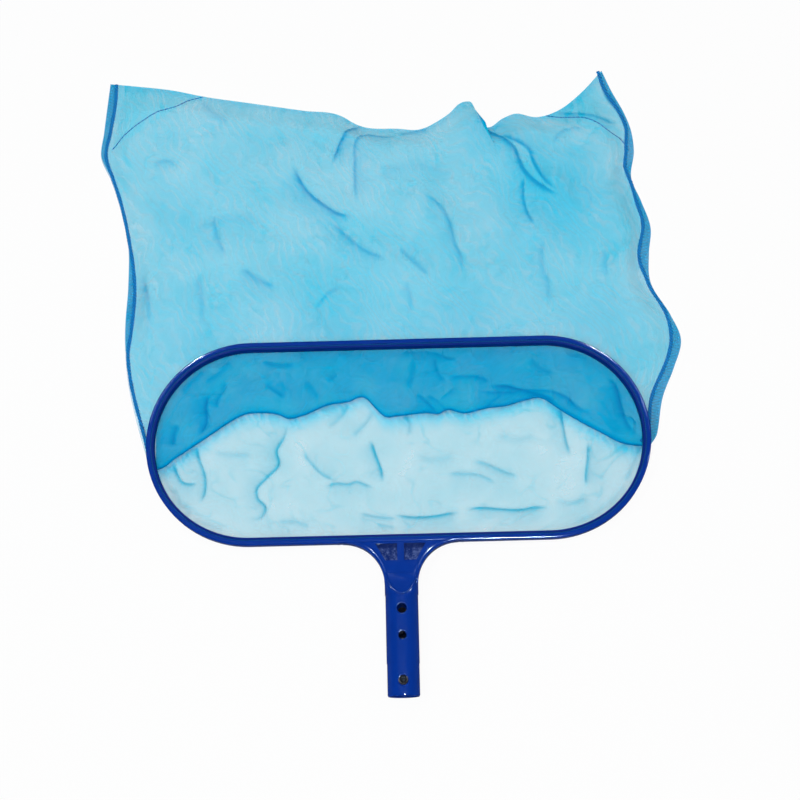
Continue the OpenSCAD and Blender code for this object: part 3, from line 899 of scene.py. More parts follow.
# The broad folds of the bag beyond the frame: both ends, from the mouth's middle, and height
MAIN_FOLDS = (
    ((-93, 268), (-34, 212), 3.8), ((-34, 212), (-4, 167), 3.2), ((-55, 265), (-26, 311), 3.2),
    ((79, 329), (110, 268), 4.0), ((110, 268), (158, 227), 3.8), ((42, 221), (61, 153), 3.2),
    ((-163, 196), (-110, 146), 2.9), ((138, 193), (141, 124), 2.9), ((-230, 149), (-221, 85), 3.2),
)

# The outline of the slack fold inside the mouth, from the mouth's middle
SLACK_EDGE: Points = (
    (-216, -20), (-208, -17), (-202, -12), (-193, -6), (-184, 0), (-166, 12), (-151, 22), (-140, 28),
    (-121, 30), (-107, 28), (-98, 24), (-87, 26), (-61, 36), (-45, 38), (-28, 41), (-21, 33), (-12, 24),
    (0, 24), (28, 26), (37, 25), (43, 28), (60, 25), (79, 29), (98, 31), (112, 35), (130, 37), (144, 27),
    (159, 17), (181, 4), (199, -6), (213, -9),
)
# The far fold of the bag, from the mouth's middle
FAR_EDGE: Points = (
    (-263, 360), (-240, 357), (-201, 351), (-177, 345), (-129, 336), (-80, 327), (-46, 321), (-30, 311),
    (8, 306), (30, 305), (44, 312), (57, 321), (66, 330), (72, 332), (78, 330), (82, 320), (87, 307),
    (93, 305), (105, 313), (117, 318), (138, 314), (158, 320), (183, 340), (201, 360),
)
# How far the cloth's raw edge stands outside the hem line, along the bag from the mouth's middle
LEFT_EDGE: Points = (
    (0, 6), (40, 17.6), (70, 24.6), (110, 28.6), (160, 26.6), (200, 27.6), (236, 35.6),
    (263, 44.6), (286, 54.6), (310, 52.6), (360, 47.6),
)
RIGHT_EDGE: Points = (
    (-6, 9.6), (0, 11.6), (40, 20.6), (65, 31.6), (92, 39.6), (115, 31.6), (146, 15.6), (175, 15.6),
    (200, 18.6), (226, 11.6), (250, 3.6), (277, 7.6), (300, 5.6), (318, -0.4), (337, -9.4), (360, -18.4),
)
# How far inside the raw edge the sewn line runs
LEFT_ALLOWANCE: Points = (
    (0, 1), (70, 1.2), (92, 2), (111, 5.5), (150, 6.5), (172, 4.5), (195, 1.4), (240, 1.2), (264, 1.6),
    (286, 4.6), (310, 6.2), (340, 7.4), (360, 6),
)
RIGHT_ALLOWANCE: Points = (
    (0, 9), (50, 10), (70, 9), (92, 9), (113, 4), (133, 2.4), (150, 3), (170, 9), (187, 9), (208, 6),
    (228, 4.5), (247, 1.8), (264, 7), (284, 7), (303, 4), (321, 4.5), (340, 6), (360, 4),
)
# The stitching across the far corners, from the mouth's middle
LEFT_EAR: Points = ((-178, 344), (-190, 340), (-203, 330), (-220, 324), (-234, 316), (-248, 305), (-263, 291))
RIGHT_EAR: Points = ((146, 315), (162, 311), (177, 308), (190, 303), (204, 294), (216, 287), (222, 277))

FoldSets = tuple[tuple[tuple[Crease, ...], Callable[[Array], Array]], ...]


@dataclass
class NetBag:
    """The sewn net: a lower panel on the ground and an upper one that hangs slack from the hem.

    hang and turn are shares of the upper panel's cut: down to its slack fold, and round that fold.
    fold_ends are the far fold's ends across, and slack_end is where the slack fold ends. The upper
    panel keeps side_gap and rim_gap clear of the lower one and of the hem line. Its run out starts at
    out_start from the mouth's middle. seam_from and seam_share say which part of a cut lies by a seam.
    """

    mouth: Mouth
    length: float = 360.0
    ground_z: float = -16.9
    meet_z: float = -16.2
    slack_r: float = 1.5
    slack_end: float = 213.0
    slack_drop: float = 0.9
    below_hem: float = 0.5
    side_gap: float = 0.6
    rim_gap: float = 0.5
    out_start: float = -9.0
    billow: float = 9.0
    hang_lift: float = 3.6
    bag_relief: float = 0.35
    thinnest: float = 2.2
    hang: float = 0.22
    turn: float = 0.25
    fold_ends: tuple[float, float] = (-263.0, 201.0)
    seam_from: float = 0.26
    seam_share: float = 0.031
    refine_near: tuple[float, float] = (6.5, 3.2)
    uv_size: tuple[float, float] = (500.0, 445.0)
    pieces: dict[str, Piece] = field(default_factory=dict)

    def __post_init__(self) -> None:
        """Works out the levels and draws the unevenness of the cloth."""
        self.hang_z = self.mouth.hem_bottom - self.below_hem
        self.swell = Unevenness(11)
        self.crumple = Unevenness(23)
        self.near_y = self.mouth.centre_y - self.mouth.hem_r
        self.far_y = self.mouth.centre_y + self.length

    # The outline

    def edge(self, side: int, y: Array) -> Array:
        """X of the raw side edge at places along Y; side is -1 on the left and 1 on the right."""
        along = y - self.mouth.centre_y
        out = flowing(LEFT_EDGE if side < 0 else RIGHT_EDGE, along)
        leaving = ease(along, -22.0, 4.0)
        return side * (mix(self.mouth.edge_x(y), self.mouth.half_w, leaving) + out * leaving)

    def seam_line(self, side: int, y: Array) -> Array:
        """X of the sewn line at places along Y."""
        inside = flowing(LEFT_ALLOWANCE if side < 0 else RIGHT_ALLOWANCE, y - self.mouth.centre_y)
        return self.edge(side, y) - side * inside

    def sewn(self, x: Array, ye: Array) -> tuple[Array, Array]:
        """How far places are inside the sewn lines, and how far they lie in the seam allowance."""
        inside = np.minimum(x - self.seam_line(-1, ye), self.seam_line(1, ye) - x)
        beyond = ease(inside, 0.8, -0.8) * ease(ye - self.mouth.centre_y, -16.0, -4.0)
        return inside, beyond

    def far_fold(self, x: Array) -> Array:
        """Y of the far fold at places across."""
        return self.mouth.centre_y + flowing(FAR_EDGE, x)

    def slack_y(self, x: Array) -> Array:
        """Y of the slack fold at places across the mouth."""
        return self.mouth.centre_y + flowing(SLACK_EDGE, x)

    def ear_line(self, side: int) -> Array:
        """The line of a far corner's stitching, from the far fold to the side seam."""
        return through(LEFT_EAR if side < 0 else RIGHT_EAR) + np.array([0.0, self.mouth.centre_y])

    def _ear(self, x: Array, y: Array, side: int) -> Array:
        """How far a place lies in the far corner beyond that corner's stitching, from 0 to 1."""
        line = self.ear_line(side)
        start, end = line[0], line[-1]
        ahead = (end - start) / np.linalg.norm(end - start)
        beyond = (x - start[0]) * ahead[1] - (y - start[1]) * ahead[0]
        return ease(beyond * side, 0.0, 6.0)

    # The two panels, each as places from a flat cut with both sides from 0 to 1

    @staticmethod
    def broad_folds(x: Array, along: Array, spread: float = 15.0) -> Array:
        """Height of the broad folds at places in the plane."""
        tallest = np.zeros(x.shape)
        for start, end, height in MAIN_FOLDS:
            first, step = np.array(start, dtype=float), np.array(end, dtype=float) - np.array(start)
            offset = np.stack([x, along], axis=1) - first
            share = np.clip(offset @ step / (step @ step), 0.0, 1.0)
            gap = offset - share[:, None] * step
            tallest = np.maximum(tallest, height * np.exp(-(gap**2).sum(axis=1) / spread**2))
        return tallest

    def crumpled(self, height: Array, x: Array, y: Array, layers: tuple[tuple[float, ...], ...]) -> Array:
        """Adds layers of crumples to a height at places in the plane."""
        for tall, spacing, across, along in layers:
            height = height + tall * self.crumple.creased(x + across, y + along, spacing)
        return height

    def _spread(
        self, u: Array, v: Array, near: Array | float, ye: Array, tuck: Array | float = 0.0
    ) -> tuple[Array, Array]:
        """Places between the side edges, from the near line out to the far fold."""
        left, right = self.edge(-1, ye) + tuck, self.edge(1, ye) - tuck
        return mix(left, right, u), mix(near, self.far_fold(mix(*self.fold_ends, u)), v)

    def lower(self, u: Array, v: Array) -> Placed:
        """The lower panel: from the near half of the hem down to the ground and out to the far fold.

        Args:
            u: places across the cut.
            v: places along the cut.

        Returns:
            Positions in mm, and the cloth's own values by name.
        """
        ye = mix(self.near_y, self.far_y, v)
        x, y = self._spread(u, v, self.near_y, ye)
        along = y - self.mouth.centre_y
        inside = self.mouth.inside(x, np.minimum(0.0, along))
        rise = ease(inside, 10.0, 0.0) * ease(along, -2.0, -30.0)
        free = ease(inside, 2.0, 11.0)
        bag = ease(along, 70.0, 100.0)
        found = Relief.of(x, along, GROUND_FOLDS, free)
        relief = self.crumpled(1.6 * (self.swell.at(x, y, 46.0) + 0.6), x, y, GROUND_CRUMPLES)
        flat_edge = ease(x - self.edge(-1, ye), 0.0, 14.0) * ease(self.edge(1, ye) - x, 0.0, 14.0)
        low = np.maximum(self.ground_z, self.ground_z + relief * mix(free, self.bag_relief, bag) * flat_edge)
        z = mix(low, self.hang_z, rise) + found.lift
        z = mix(z, self.ground_z, ease(v, 0.93, 1.0))
        gathers = 0.5 + 0.5 * np.sin(x * 0.9 + 2.2 * self.swell.at(x, y, 30.0))
        gather = 0.28 * rise * gathers + 0.2 * ease(inside, 5.0, 0.0) * ease(along, 0.0, -20.0)
        gather = np.maximum(gather, 1.1 * self.sewn(x, ye)[1])
        # Painted shade on the ground cloth by the slack fold: deeper, denser blue where the hanging layer
        # shades it, and a dark line just in front of its edge
        before_slack = self.slack_y(np.clip(x, -self.slack_end, self.slack_end)) - y
        slack_shade = np.exp(-((before_slack / 9.0) ** 2)) * (np.abs(x) < self.mouth.half_w)
        gather = np.maximum(gather, 0.5 * np.exp(-(((before_slack - 0.8) / 1.5) ** 2)) * slack_shade)
        places = np.stack([x + found.shift[:, 0], y + found.shift[:, 1], z], axis=1)
        return places, {"gather": gather, "crease_and_shade": found.crease_and_shade, "double": 0.8 * slack_shade, "thin": 0.0}

    def upper(self, u: Array, v: Array) -> Placed:
        """The upper panel: from the far hem forward to the slack fold, under itself and out.

        Args:
            u: places across the cut.
            v: places along the cut.

        Returns:
            Positions in mm, and the cloth's own values by name.
        """
        mouth, hang, turn = self.mouth, self.hang, self.turn
        hanging, turning, beyond = v < hang, (v >= hang) & (v < turn), v > turn

        def pick(hung: Array | float, turned: Array | float, run: Array) -> Array:
            """Values of each part of the cut, put together."""
            return np.where(hanging, hung, np.where(turning, turned, run))

        fold_x = (mouth.half_w - self.side_gap) * (2 * u - 1)
        fold_y = self.slack_y(fold_x)
        fold_x = np.sign(fold_x) * np.minimum(np.abs(fold_x), mouth.edge_x(fold_y) - self.rim_gap)
        top_z = self.hang_z - self.slack_drop
        under_z = top_z - 2 * self.slack_r

        # Hanging from the hem
        a = np.clip(v / hang, 0.0, 1.0)
        hang_y = mix(mouth.far_y(fold_x), fold_y + self.slack_r, a)
        rel = hang_y - mouth.centre_y
        free = ease(mouth.inside(fold_x, np.maximum(0.0, rel)), 1.5, 9.5)
        folds = Relief.of(fold_x, rel, HANG_FOLDS, np.where(v <= hang, free, 0.0))
        sway = self.crumpled(1.1 * self.swell.at(fold_x, hang_y, 24.0), fold_x, hang_y, HANG_CRUMPLES)
        risen = free * np.minimum(sway + folds.lift, self.hang_lift) * ease(a, 1.0, 0.88)
        hang_z = mix(self.hang_z, top_z, smooth_step(a)) + risen

        # Turning under at the slack fold
        angle = np.pi / 2 + np.pi * np.clip((v - hang) / (turn - hang), 0.0, 1.0)
        turn_y = fold_y + self.slack_r * (1 + np.cos(angle))
        turn_z = top_z - self.slack_r + self.slack_r * np.sin(angle)

        # Running out to the far fold
        w = np.clip((v - turn) / (1 - turn), 0.0, 1.0)
        ye = mix(mouth.centre_y + self.out_start + self.slack_r, self.far_y, w)
        settled = ease(ye - mouth.centre_y, 0.0, 30.0)
        x, y = self._spread(u, w, fold_y + self.slack_r, ye, self.side_gap * (1 - settled))
        along = y - mouth.centre_y
        inward = np.minimum(x - self.edge(-1, ye), self.edge(1, ye) - x)
        out = ease(along - mouth.rim_r, 0.0, 50.0)
        wave = 0.75 + 0.25 * np.sin(np.radians(504 * x / mouth.half_w + 396 * y / self.length))
        small = self.crumpled(0.8 * self.swell.at(x, y, 40.0), x, y, BAG_CRUMPLES)
        height = out * (self.billow * wave + self.broad_folds(x, along) + small - 0.6)
        bag = Relief.of(x, along, BAG_FOLDS, np.where(v >= turn, out, 0.0))
        within, seam = self.sewn(x, ye)
        inner = smooth_step(within / np.maximum(12.0, 25.0 - inward + within))
        run_z = mix(mix(under_z, self.meet_z, settled), under_z + height, inner) + bag.lift * inner
        run_z = mix(self.meet_z, run_z, ease(w, 1.0, 0.91))

        fading = ease(a, 1.0, 0.9)[:, None]
        shift = np.where(hanging[:, None], folds.shift * fading, bag.shift * beyond[:, None])
        spot_x, spot_y = pick(fold_x, fold_x, x) + shift[:, 0], pick(hang_y, turn_y, y) + shift[:, 1]
        places = np.stack([spot_x, spot_y, pick(hang_z, turn_z, run_z)], axis=1)

        # The cloth's own values
        mottled = 0.9 + 0.16 * self.crumple.at(fold_x, hang_y, 18.0)
        bunched = mottled + 0.5 * bell(fold_x + 205, rel + 8, 12.0, 15.0)
        gather = pick(bunched, 1.2, np.maximum(0.3 * ease(w, 0.02, 0.0), 1.15 * seam))
        crease_and_shade = pick(folds.crease_and_shade + 0.4 * ease(a, 0.955, 1.0), 0.75, 1.15 * bag.crease_and_shade)
        ears = self._ear(x, y, -1) + self._ear(x, y, 1)
        thin = ears * (1.5 + 0.9 * np.exp(-((within / 8.0) ** 2)))
        for cx, cy, wide, long, amount in PALER:
            thin = thin + amount * bell(x - cx, along - cy, wide, long)
        thin = np.where(beyond, np.clip(thin, 0.0, self.thinnest), 0.0)
        for cx, cy, size, amount in DEEPER:
            spot = np.where(beyond, amount * bell(x - cx, along - cy, size, size), 0.0)
            thin = thin - spot
            crease_and_shade = np.maximum(crease_and_shade, 0.3 * spot)
        crease_and_shade = np.clip(crease_and_shade + 0.3 * ease(w, 0.965, 1.0), 0.0, 1.0)
        double = np.where(beyond, 1.0, 0.4)
        return places, {"gather": np.clip(gather, 0.0, 1.3), "crease_and_shade": crease_and_shade, "double": double, "thin": thin}

    # Making the pieces

    def _refine(self, piece: Piece, shape: Shape, folds: FoldSets, near: float) -> None:
        """Subdivides the faces of a flat cut that lie near a fold or a side seam."""
        cut = corners_of(piece)
        places, _ = shape(cut[:, 0], cut[:, 1])
        places[:, 1] -= self.mouth.centre_y
        closest = np.full(len(cut), FAR)
        for creases, belongs in folds:
            mine = belongs(cut[:, 1])
            for fold in creases:
                away, _, _ = fold.read(places[:, 0], places[:, 1])
                distance = np.where(mine, np.abs(away) / (0.35 + 0.4 * fold.width), FAR)
                closest = np.minimum(closest, distance)
        side = np.where(cut[:, 1] > self.seam_from, np.minimum(cut[:, 0], 1 - cut[:, 0]), 1.0)
        closest = np.where(side < self.seam_share, 0.0, closest)
        loops, starts = whole(piece.data.loops, "vertex_index"), whole(piece.data.polygons, "loop_start")
        select_faces(piece, np.minimum.reduceat(closest[loops], starts) < near)
        bpy.ops.mesh.subdivide(number_cuts=1)
        bpy.ops.object.mode_set(mode="OBJECT")

    def _sheet(self, name: str, across: int, along: int, shape: Shape, folds: FoldSets) -> Piece:
        """Shapes a flat cut into a panel, with more cloth where it folds sharply.

        Args:
            name: the piece's name.
            across: grid squares across the cut.
            along: grid squares along the cut.
            shape: the method that places the cut.
            folds: sets of folds, each with a test of which places it belongs to.

        Returns:
            The finished panel.
        """
        piece = flat_grid(name, across, along)
        for near in self.refine_near:
            self._refine(piece, shape, folds, near)
        cut = corners_of(piece)
        places, own = shape(cut[:, 0], cut[:, 1])
        set_corners(piece, places * MM)
        mesh = piece.data
        for label, values in own.items():
            attribute = mesh.attributes.new(label, "FLOAT", "POINT")
            attribute.data.foreach_set("value", np.broadcast_to(values, (len(cut),)).astype(np.float32))
        while mesh.uv_layers:
            mesh.uv_layers.remove(mesh.uv_layers[0])
        loops = whole(mesh.loops, "vertex_index")
        uv = mesh.uv_layers.new(name="cut")
        uv.data.foreach_set("uv", (cut[loops, :2] * np.array(self.uv_size)).ravel())
        take(piece)
        bpy.ops.object.shade_smooth()
        return piece

    def sew(self, palette: Palette) -> None:
        """Makes and dresses both panels."""
        lower_folds = ((GROUND_FOLDS, lambda v: v < 0.5),)
        upper_folds = ((HANG_FOLDS, lambda v: v <= self.hang), (BAG_FOLDS, lambda v: v > self.turn))
        lower = self._sheet("net_lower", 160, 150, self.lower, lower_folds)
        upper = self._sheet("net_upper", 160, 170, self.upper, upper_folds)
        for piece, node, length in ((lower, "net_lower_panel", 0.445), (upper, "net_upper_panel", 0.43)):
            fit(piece, palette.net, node)
            self.pieces[piece.name] = piece


@dataclass
class Seams:
    """The sewn lines: overlocked sides, far corner stitches and the hem tape in its groove."""

    bag: NetBag
    rope_w: float = 3.2
    rope_h: float = 1.5
    rope_step: float = 0.7
    stitch_step: float = 3.2
    corner_step: float = 4.2
    thread: float = 0.3
    start_gap: float = 6.0
    end_gap: float = 1.0
    hem_drop: float = 2.2
    lift: float = 0.55
    edge_gap: float = 0.4

    def _along(self, side: int, steps: int) -> Array:
        """Places along a side's sewn line, on top of both layers."""
        bag = self.bag
        y = np.linspace(bag.mouth.centre_y - self.start_gap, bag.far_y - self.end_gap, steps)
        drop = ease(y - bag.mouth.centre_y, 0.0, 30.0)
        z = mix(bag.mouth.hem_bottom - self.hem_drop, bag.meet_z + self.lift, drop)
        return np.stack([bag.seam_line(side, y), y, z], axis=1)

    def side(self, side: int, palette: Palette) -> None:
        """The sewn rope along one side of the bag."""
        name = f"side_seam_{WHICH[side]}"
        path = self._along(side, 520)
        run = np.arange(len(path)) * self.rope_step
        swell = 1.0 + 0.14 * np.sin(run * 2 * np.pi / self.stitch_step) + 0.06 * np.sin(run * 0.31)
        swell += (0.3 if side < 0 else 1.1) * np.exp(-(((path[:, 1] - path[0, 1] - 3.0) / 7.0) ** 2))
        section = oval(self.rope_w, self.rope_h, 12, flat=0.6)[None] * swell[:, None, None]
        fit(rolled(f"{name}_rope", rings_along(path, section)), palette.seam, name)

    def overlock(self, side: int, palette: Palette) -> None:
        """The zigzag thread that wraps one side's raw edge."""
        path = self._along(side, 241)
        at_edge = np.arange(len(path)) % 2 == 1
        raw = self.bag.edge(side, path[:, 1]) - side * self.edge_gap
        path[:, 0] = np.where(at_edge, raw, path[:, 0])
        path[:, 2] += np.where(at_edge, 0.1, self.lift)
        fine = np.repeat(path, 2, axis=0)
        fine[1:-1:2] = path[:-1] * 0.85 + path[1:] * 0.15
        fine[2::2] = path[1:] * 0.85 + path[:-1] * 0.15
        rings = rings_along(fine, oval(self.thread, self.thread * 0.8, 5))
        fit(rolled(f"overlock_{WHICH[side]}", rings), palette.overlock)

    def corner(self, side: int, palette: Palette) -> None:
        """The row of stitches across one far corner."""
        node = f"corner_stitch_{WHICH[side]}"
        line = self.bag.ear_line(side)
        upper = corners_of(self.bag.pieces["net_upper"]) / MM
        top = upper[upper[:, 1] > self.bag.mouth.centre_y + 250.0]
        z = np.array([top[np.argmin(np.hypot(top[:, 0] - px, top[:, 1] - py)), 2] for px, py in line])
        z = np.convolve(np.pad(z, 2, mode="edge"), np.ones(5) / 5, mode="valid")
        path = np.column_stack([line, z + 0.35])
        run = run_along(path)
        at = np.linspace(0.0, run[-1], int(run[-1] / 0.6))
        path = np.stack([np.interp(at, run, path[:, axis]) for axis in range(3)], axis=1)
        pinch = 0.2 + 0.8 * np.abs(np.sin(at * np.pi / self.corner_step)) ** 0.6
        rings = rings_along(path, oval(1.0, 0.8, 6)[None] * pinch[:, None, None])
        fit(rolled(f"{node}_thread", rings), palette.seam, node)

    def hem(self, palette: Palette) -> None:
        """The hem tape, folded round the net's edge and trapped between the rim and its ring."""
        low, high = (np.array(corner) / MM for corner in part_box("mouth_hem"))
        mouth = self.bag.mouth
        thick = (high[1] - low[1]) / 2 - (mouth.hem_r - 0.45)
        outline = mouth.round(mouth.hem_r)
        path = np.column_stack([outline, np.zeros(len(outline))])
        half, bulge = thick / 2 - 0.03, 0.75
        profile = [(-half, high[2]), (half, high[2]), (half, low[2] + 1.2)]
        bend = np.linspace(0.35, np.pi - 0.35, 7)
        profile += [(bulge * math.cos(t), low[2] + 0.75 - bulge * math.sin(t)) for t in bend]
        profile += [(-half, low[2] + 1.2)]
        tape = rolled("mouth_hem_tape", rings_along(path, np.array(profile)), closed=True)
        fit(tape, palette.tape, "mouth_hem")

    def sew(self, palette: Palette) -> None:
        """Makes every sewn line."""
        for side in WHICH:
            self.side(side, palette)
            self.overlock(side, palette)
            self.corner(side, palette)
        self.hem(palette)


# ---- moulded and metal


@dataclass
class Frame:
    """The one-piece moulding: oval rim, throat and stem, with its snap-in ring."""

    edge: float = 0.6
    ring_edge: float = 0.3
    shoulder_r: float = 14.6
    stem_r: float = 14.2
    ramp: float = 20.0
    web: float = 4.5
    bead: float = 0.8
    flare_r: float = 36.0
    flare_y: float = 10.0
    lip: float = 1.7
    flare_turn: float = 97.0
    hole_bead: float = 0.45
    hole_gap: float = 0.55
    slim_from: float = -59.0
    slimmer: float = 0.3
    holes: tuple[tuple[float, float], ...] = ((-13.0, 4.25), (-36.0, 3.5), (-74.0, 4.25))

    def mould(self, palette: Palette) -> None:
        """Rounds the moulding's edges, adds its beads, and dresses it and its ring."""
        fit(self._rounded("frame", self.edge), palette.frame, "frame")
        fit(self._rounded("retaining_ring", self.ring_edge), palette.ring, "retaining_ring")
        lean = np.array([0.0, 0.3, 1.0])
        for name, path, size in self._lines():
            rings = rings_along(path, oval(size * 2, size * 2, 10), up=lean)
            fit(rolled(name, rings, closed="rim" in name), palette.frame)

    @staticmethod
    def _rounded(node: str, edge: float) -> Piece:
        """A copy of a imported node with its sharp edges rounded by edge, in mm."""
        take(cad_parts[node])
        bpy.ops.object.duplicate()
        piece = bpy.context.object
        piece.name = piece.data.name = f"{node}_moulding"
        take(piece)
        bpy.ops.object.mode_set(mode="EDIT")
        bpy.ops.mesh.select_all(action="SELECT")
        bpy.ops.mesh.remove_doubles(threshold=0.00002)
        bpy.ops.mesh.dissolve_limited(angle_limit=math.radians(0.6))
        bpy.ops.object.mode_set(mode="OBJECT")
        bevel = piece.modifiers.new("edges", "BEVEL")
        bevel.width, bevel.segments = edge * MM, 3
        bevel.limit_method, bevel.angle_limit = "ANGLE", math.radians(32)
        bevel.use_clamp_overlap = True
        bevel.harden_normals = False
        apply_all(piece)
        bpy.ops.object.shade_smooth_by_angle(angle=math.radians(40))
        return piece

    def _lines(self) -> list[tuple[str, Array, float]]:
        """Name, path and radius of each moulded bead: the throat's planed edges, flares and holes."""
        lines = []
        for face, label in ((1, "top"), (-1, "under")):
            level = np.linspace(self.web + 0.3, self.shoulder_r - 0.05, 40)
            reach = self.ramp * (self.shoulder_r - level) / (self.shoulder_r - self.web)
            half = np.sqrt(self.shoulder_r**2 - level**2)
            left = np.column_stack([-half, reach, face * level])
            right = np.column_stack([half, reach, face * level])[::-1]
            lines.append((f"throat_edge_{label}", np.concatenate([left, right]), self.bead))
            for side, which in WHICH.items():
                turn = np.linspace(0.0, np.radians(self.flare_turn), 60)
                r = self.flare_r + self.lip * 1.05
                x = side * (self.shoulder_r + self.flare_r - r * np.cos(turn))
                z = np.full(turn.shape, self.web + 1.0 - self.lip * 0.75)
                path = np.column_stack([x, self.flare_y + r * np.sin(turn), face * z])
                lines.append((f"flare_lip_{which}_{label}", path, self.lip))
            for number, (y, r) in enumerate(self.holes):
                turn = np.linspace(0.0, 2 * np.pi, 48, endpoint=False)
                x = (r + self.hole_gap) * np.cos(turn)
                surface = self.stem_r - 0.1 - (self.slimmer if y < self.slim_from else 0.0)
                z = np.sqrt(surface**2 - x**2)
                path = np.column_stack([x, y + (r + self.hole_gap) * np.sin(turn), face * z])
                lines.append((f"hole_rim_{label}_{number}", path, self.hole_bead))
        return lines


class Clip:
    """The spring clip inside the stem, with its two buttons."""

    LEGS = ("clip_bend", "clip_upper_leg", "clip_lower_leg")
    BUTTONS = ("clip_upper_button", "clip_lower_button")

    def dress(self, palette: Palette) -> None:
        """Gives the clip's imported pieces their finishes."""
        for nodes, material in ((self.LEGS, palette.steel), (self.BUTTONS, palette.button)):
            for node in nodes:
                dress(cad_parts[node], material)
        log.info("clip: packed shapes kept")


# ---- studio

PAPER: Colour = (0.82, 0.83, 0.84, 1.0)
MIRRORED_PAPER: Colour = (0.10, 0.12, 0.16, 1.0)
# A painted shadow on the floor under the stem
SHADED_PAPER: Colour = (0.03, 0.03, 0.04, 1.0)
WHITE: Colour = (1.0, 1.0, 1.0, 1.0)


class Use(Enum):
    """What a lamp is for."""

    LIGHT = "lights surfaces, and isn't mirrored in gloss"
    GLINT = "is only mirrored in gloss"


@dataclass(frozen=True)
class Lamp:
    """One rectangular lamp, placed in mm and turned to face its target."""

    name: str
    place: tuple[float, float, float]
    target: tuple[float, float, float]
    size: tuple[float, float]
    power: float
    use: Use = Use.GLINT

    def hang(self) -> None:
        """Adds the lamp to the scene."""
        light = bpy.data.lights.new(self.name, "AREA")
        light.shape = "RECTANGLE"
        light.size, light.size_y = self.size[0] * MM, self.size[1] * MM
        light.energy = self.power
        lamp = bpy.data.objects.new(self.name, light)
        bpy.context.scene.collection.objects.link(lamp)
        lamp.visible_glossy = self.use is Use.GLINT
        lamp.visible_diffuse = lamp.visible_transmission = self.use is Use.LIGHT
        lamp.location = Vector(self.place) * MM
        lamp.rotation_euler = (Vector(self.target) - Vector(self.place)).to_track_quat("-Z", "Y").to_euler()


LAMPS = (
    Lamp("soft", (-200, -150, 1900), (0, 160, 0), (1500, 1500), 26.0, Use.LIGHT),
    Lamp("front", (190, -700, 1200), (60, 60, 0), (160, 150), 42.0),
    Lamp("left_far", (-610, 1000, 950), (-179, 214, 0), (100, 110), 34.0),
    Lamp("right_far", (600, 990, 960), (181, 213, 0), (120, 110), 30.0),
    Lamp("side", (1150, 160, 640), (0, -40, 0), (50, 240), 2.8),
    Lamp("left_window", (-720, 780, 1040), (-210, 185, 0), (500, 200), 4.0),
    Lamp("right_window", (680, 700, 1080), (215, 180, 0), (500, 200), 3.0),
)


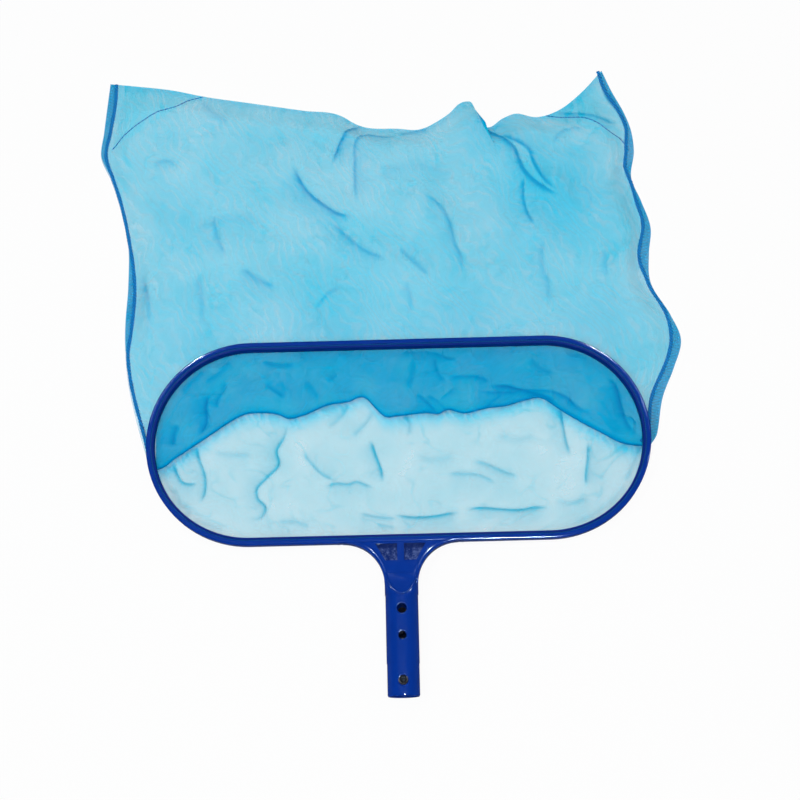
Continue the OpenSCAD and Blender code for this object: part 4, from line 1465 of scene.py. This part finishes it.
@dataclass
class Studio:
    """A pale floor, soft lamps and the camera. Lengths are in mm and angles in degrees."""

    look_at: tuple[float, float, float] = (2.4, 174.9, 0.0)
    distance: float = 1500.0
    elevation: float = 75.0
    azimuth: float = 2.26
    roll: float = -3.65
    lens: float = 75.6

    def build(self) -> None:
        """Builds all of it."""
        self._floor()
        self._world()
        for lamp in LAMPS:
            lamp.hang()
        self._camera()

    @staticmethod
    def _floor() -> None:
        """A wide pale floor just under the skimmer: bright to the camera, dim in mirrored gloss, with a
        painted shadow under the stem.
        """
        deselect()
        bpy.ops.mesh.primitive_plane_add(size=9.0, location=(0.0, 0.2, CAD_BOX[0][2] - 0.0006))
        floor = bpy.context.object
        floor.name = floor.data.name = "studio_floor"
        material = bpy.data.materials.new("floor_paper")
        g = Graph.on(material)
        path = g.add("LightPath")
        # Painted shadow: the paper is dark below the stem's cross holes, which show it through the bore
        x, y, _ = g.axes(g.here())
        beside = g.remap(g.math("ABSOLUTE", x), 0.006, 0.011, 1.0, 0.0)
        ahead = g.remap(g.math("ABSOLUTE", g.math("ADD", y, 0.2435)), 0.035, 0.04, 1.0, 0.0)
        under = g.math("MULTIPLY", beside, ahead)
        pale = g.blend(path.outputs["Is Glossy Ray"], PAPER, MIRRORED_PAPER)
        paper = g.add("BsdfDiffuse", {"Color": g.blend(under, pale, SHADED_PAPER)})
        glow = g.add("Emission", {"Color": WHITE, "Strength": 1.0})
        seen = g.math("MULTIPLY", path.outputs["Is Camera Ray"], g.math("SUBTRACT", 1.0, under))
        share = g.math("MULTIPLY", seen, 0.94)
        both = g.add("MixShader", {0: share, 1: paper.outputs[0], 2: glow.outputs[0]})
        g.add("OutputMaterial", {"Surface": both.outputs[0]})
        dress(floor, material)

    @staticmethod
    def _world() -> None:
        """A white backdrop to the camera, and a dimmer room for the light."""
        world = bpy.data.worlds.new("studio_world")
        bpy.context.scene.world = world
        g = Graph.on(world)
        path = g.add("LightPath")
        strength = g.remap(path.outputs["Is Glossy Ray"], 0.0, 1.0, 0.38, 0.05)
        room = g.add("Background", {"Color": (0.95, 0.98, 1.0, 1.0), "Strength": strength})
        white = g.add("Background", {"Color": WHITE, "Strength": 1.0})
        both = g.add("MixShader", {0: path.outputs["Is Camera Ray"], 1: room.outputs[0], 2: white.outputs[0]})
        g.add("OutputWorld", {"Surface": both.outputs[0]})

    def _camera(self) -> None:
        """A camera that looks down on the skimmer lying on the floor."""
        up_angle, turn, roll = (math.radians(v) for v in (self.elevation, self.azimuth, self.roll))
        level = math.cos(up_angle)
        back = Vector((math.sin(turn) * level, -math.cos(turn) * level, math.sin(up_angle)))
        right = (-back).cross(Vector((0.0, 0.0, 1.0))).normalized()
        up = right.cross(-back)
        cos, sin = math.cos(roll), math.sin(roll)
        right, up = cos * right + sin * up, -sin * right + cos * up
        data = bpy.data.cameras.new("studio_camera")
        data.lens, data.sensor_width = self.lens, 36.0
        data.clip_start, data.clip_end = 0.05, 50.0
        camera = bpy.data.objects.new("studio_camera", data)
        bpy.context.scene.collection.objects.link(camera)
        place = (Vector(self.look_at) + back * self.distance) * MM
        axes = Matrix((right, up, back)).transposed().to_4x4()
        camera.matrix_world = Matrix.Translation(place) @ axes
        bpy.context.scene.camera = camera


def main() -> None:
    """Builds the skimmer and its studio."""
    logging.basicConfig(level=logging.INFO, format="%(name)s %(message)s")
    bpy.context.scene.view_settings.view_transform = "Standard"
    palette = Palette()
    mouth = Mouth.from_frame()
    log.info("mouth: %s", mouth)
    bag = NetBag(mouth)
    bag.sew(palette)
    Seams(bag).sew(palette)
    Frame().mould(palette)
    Clip().dress(palette)
    Studio().build()


if __name__ == "__main__":
    main()
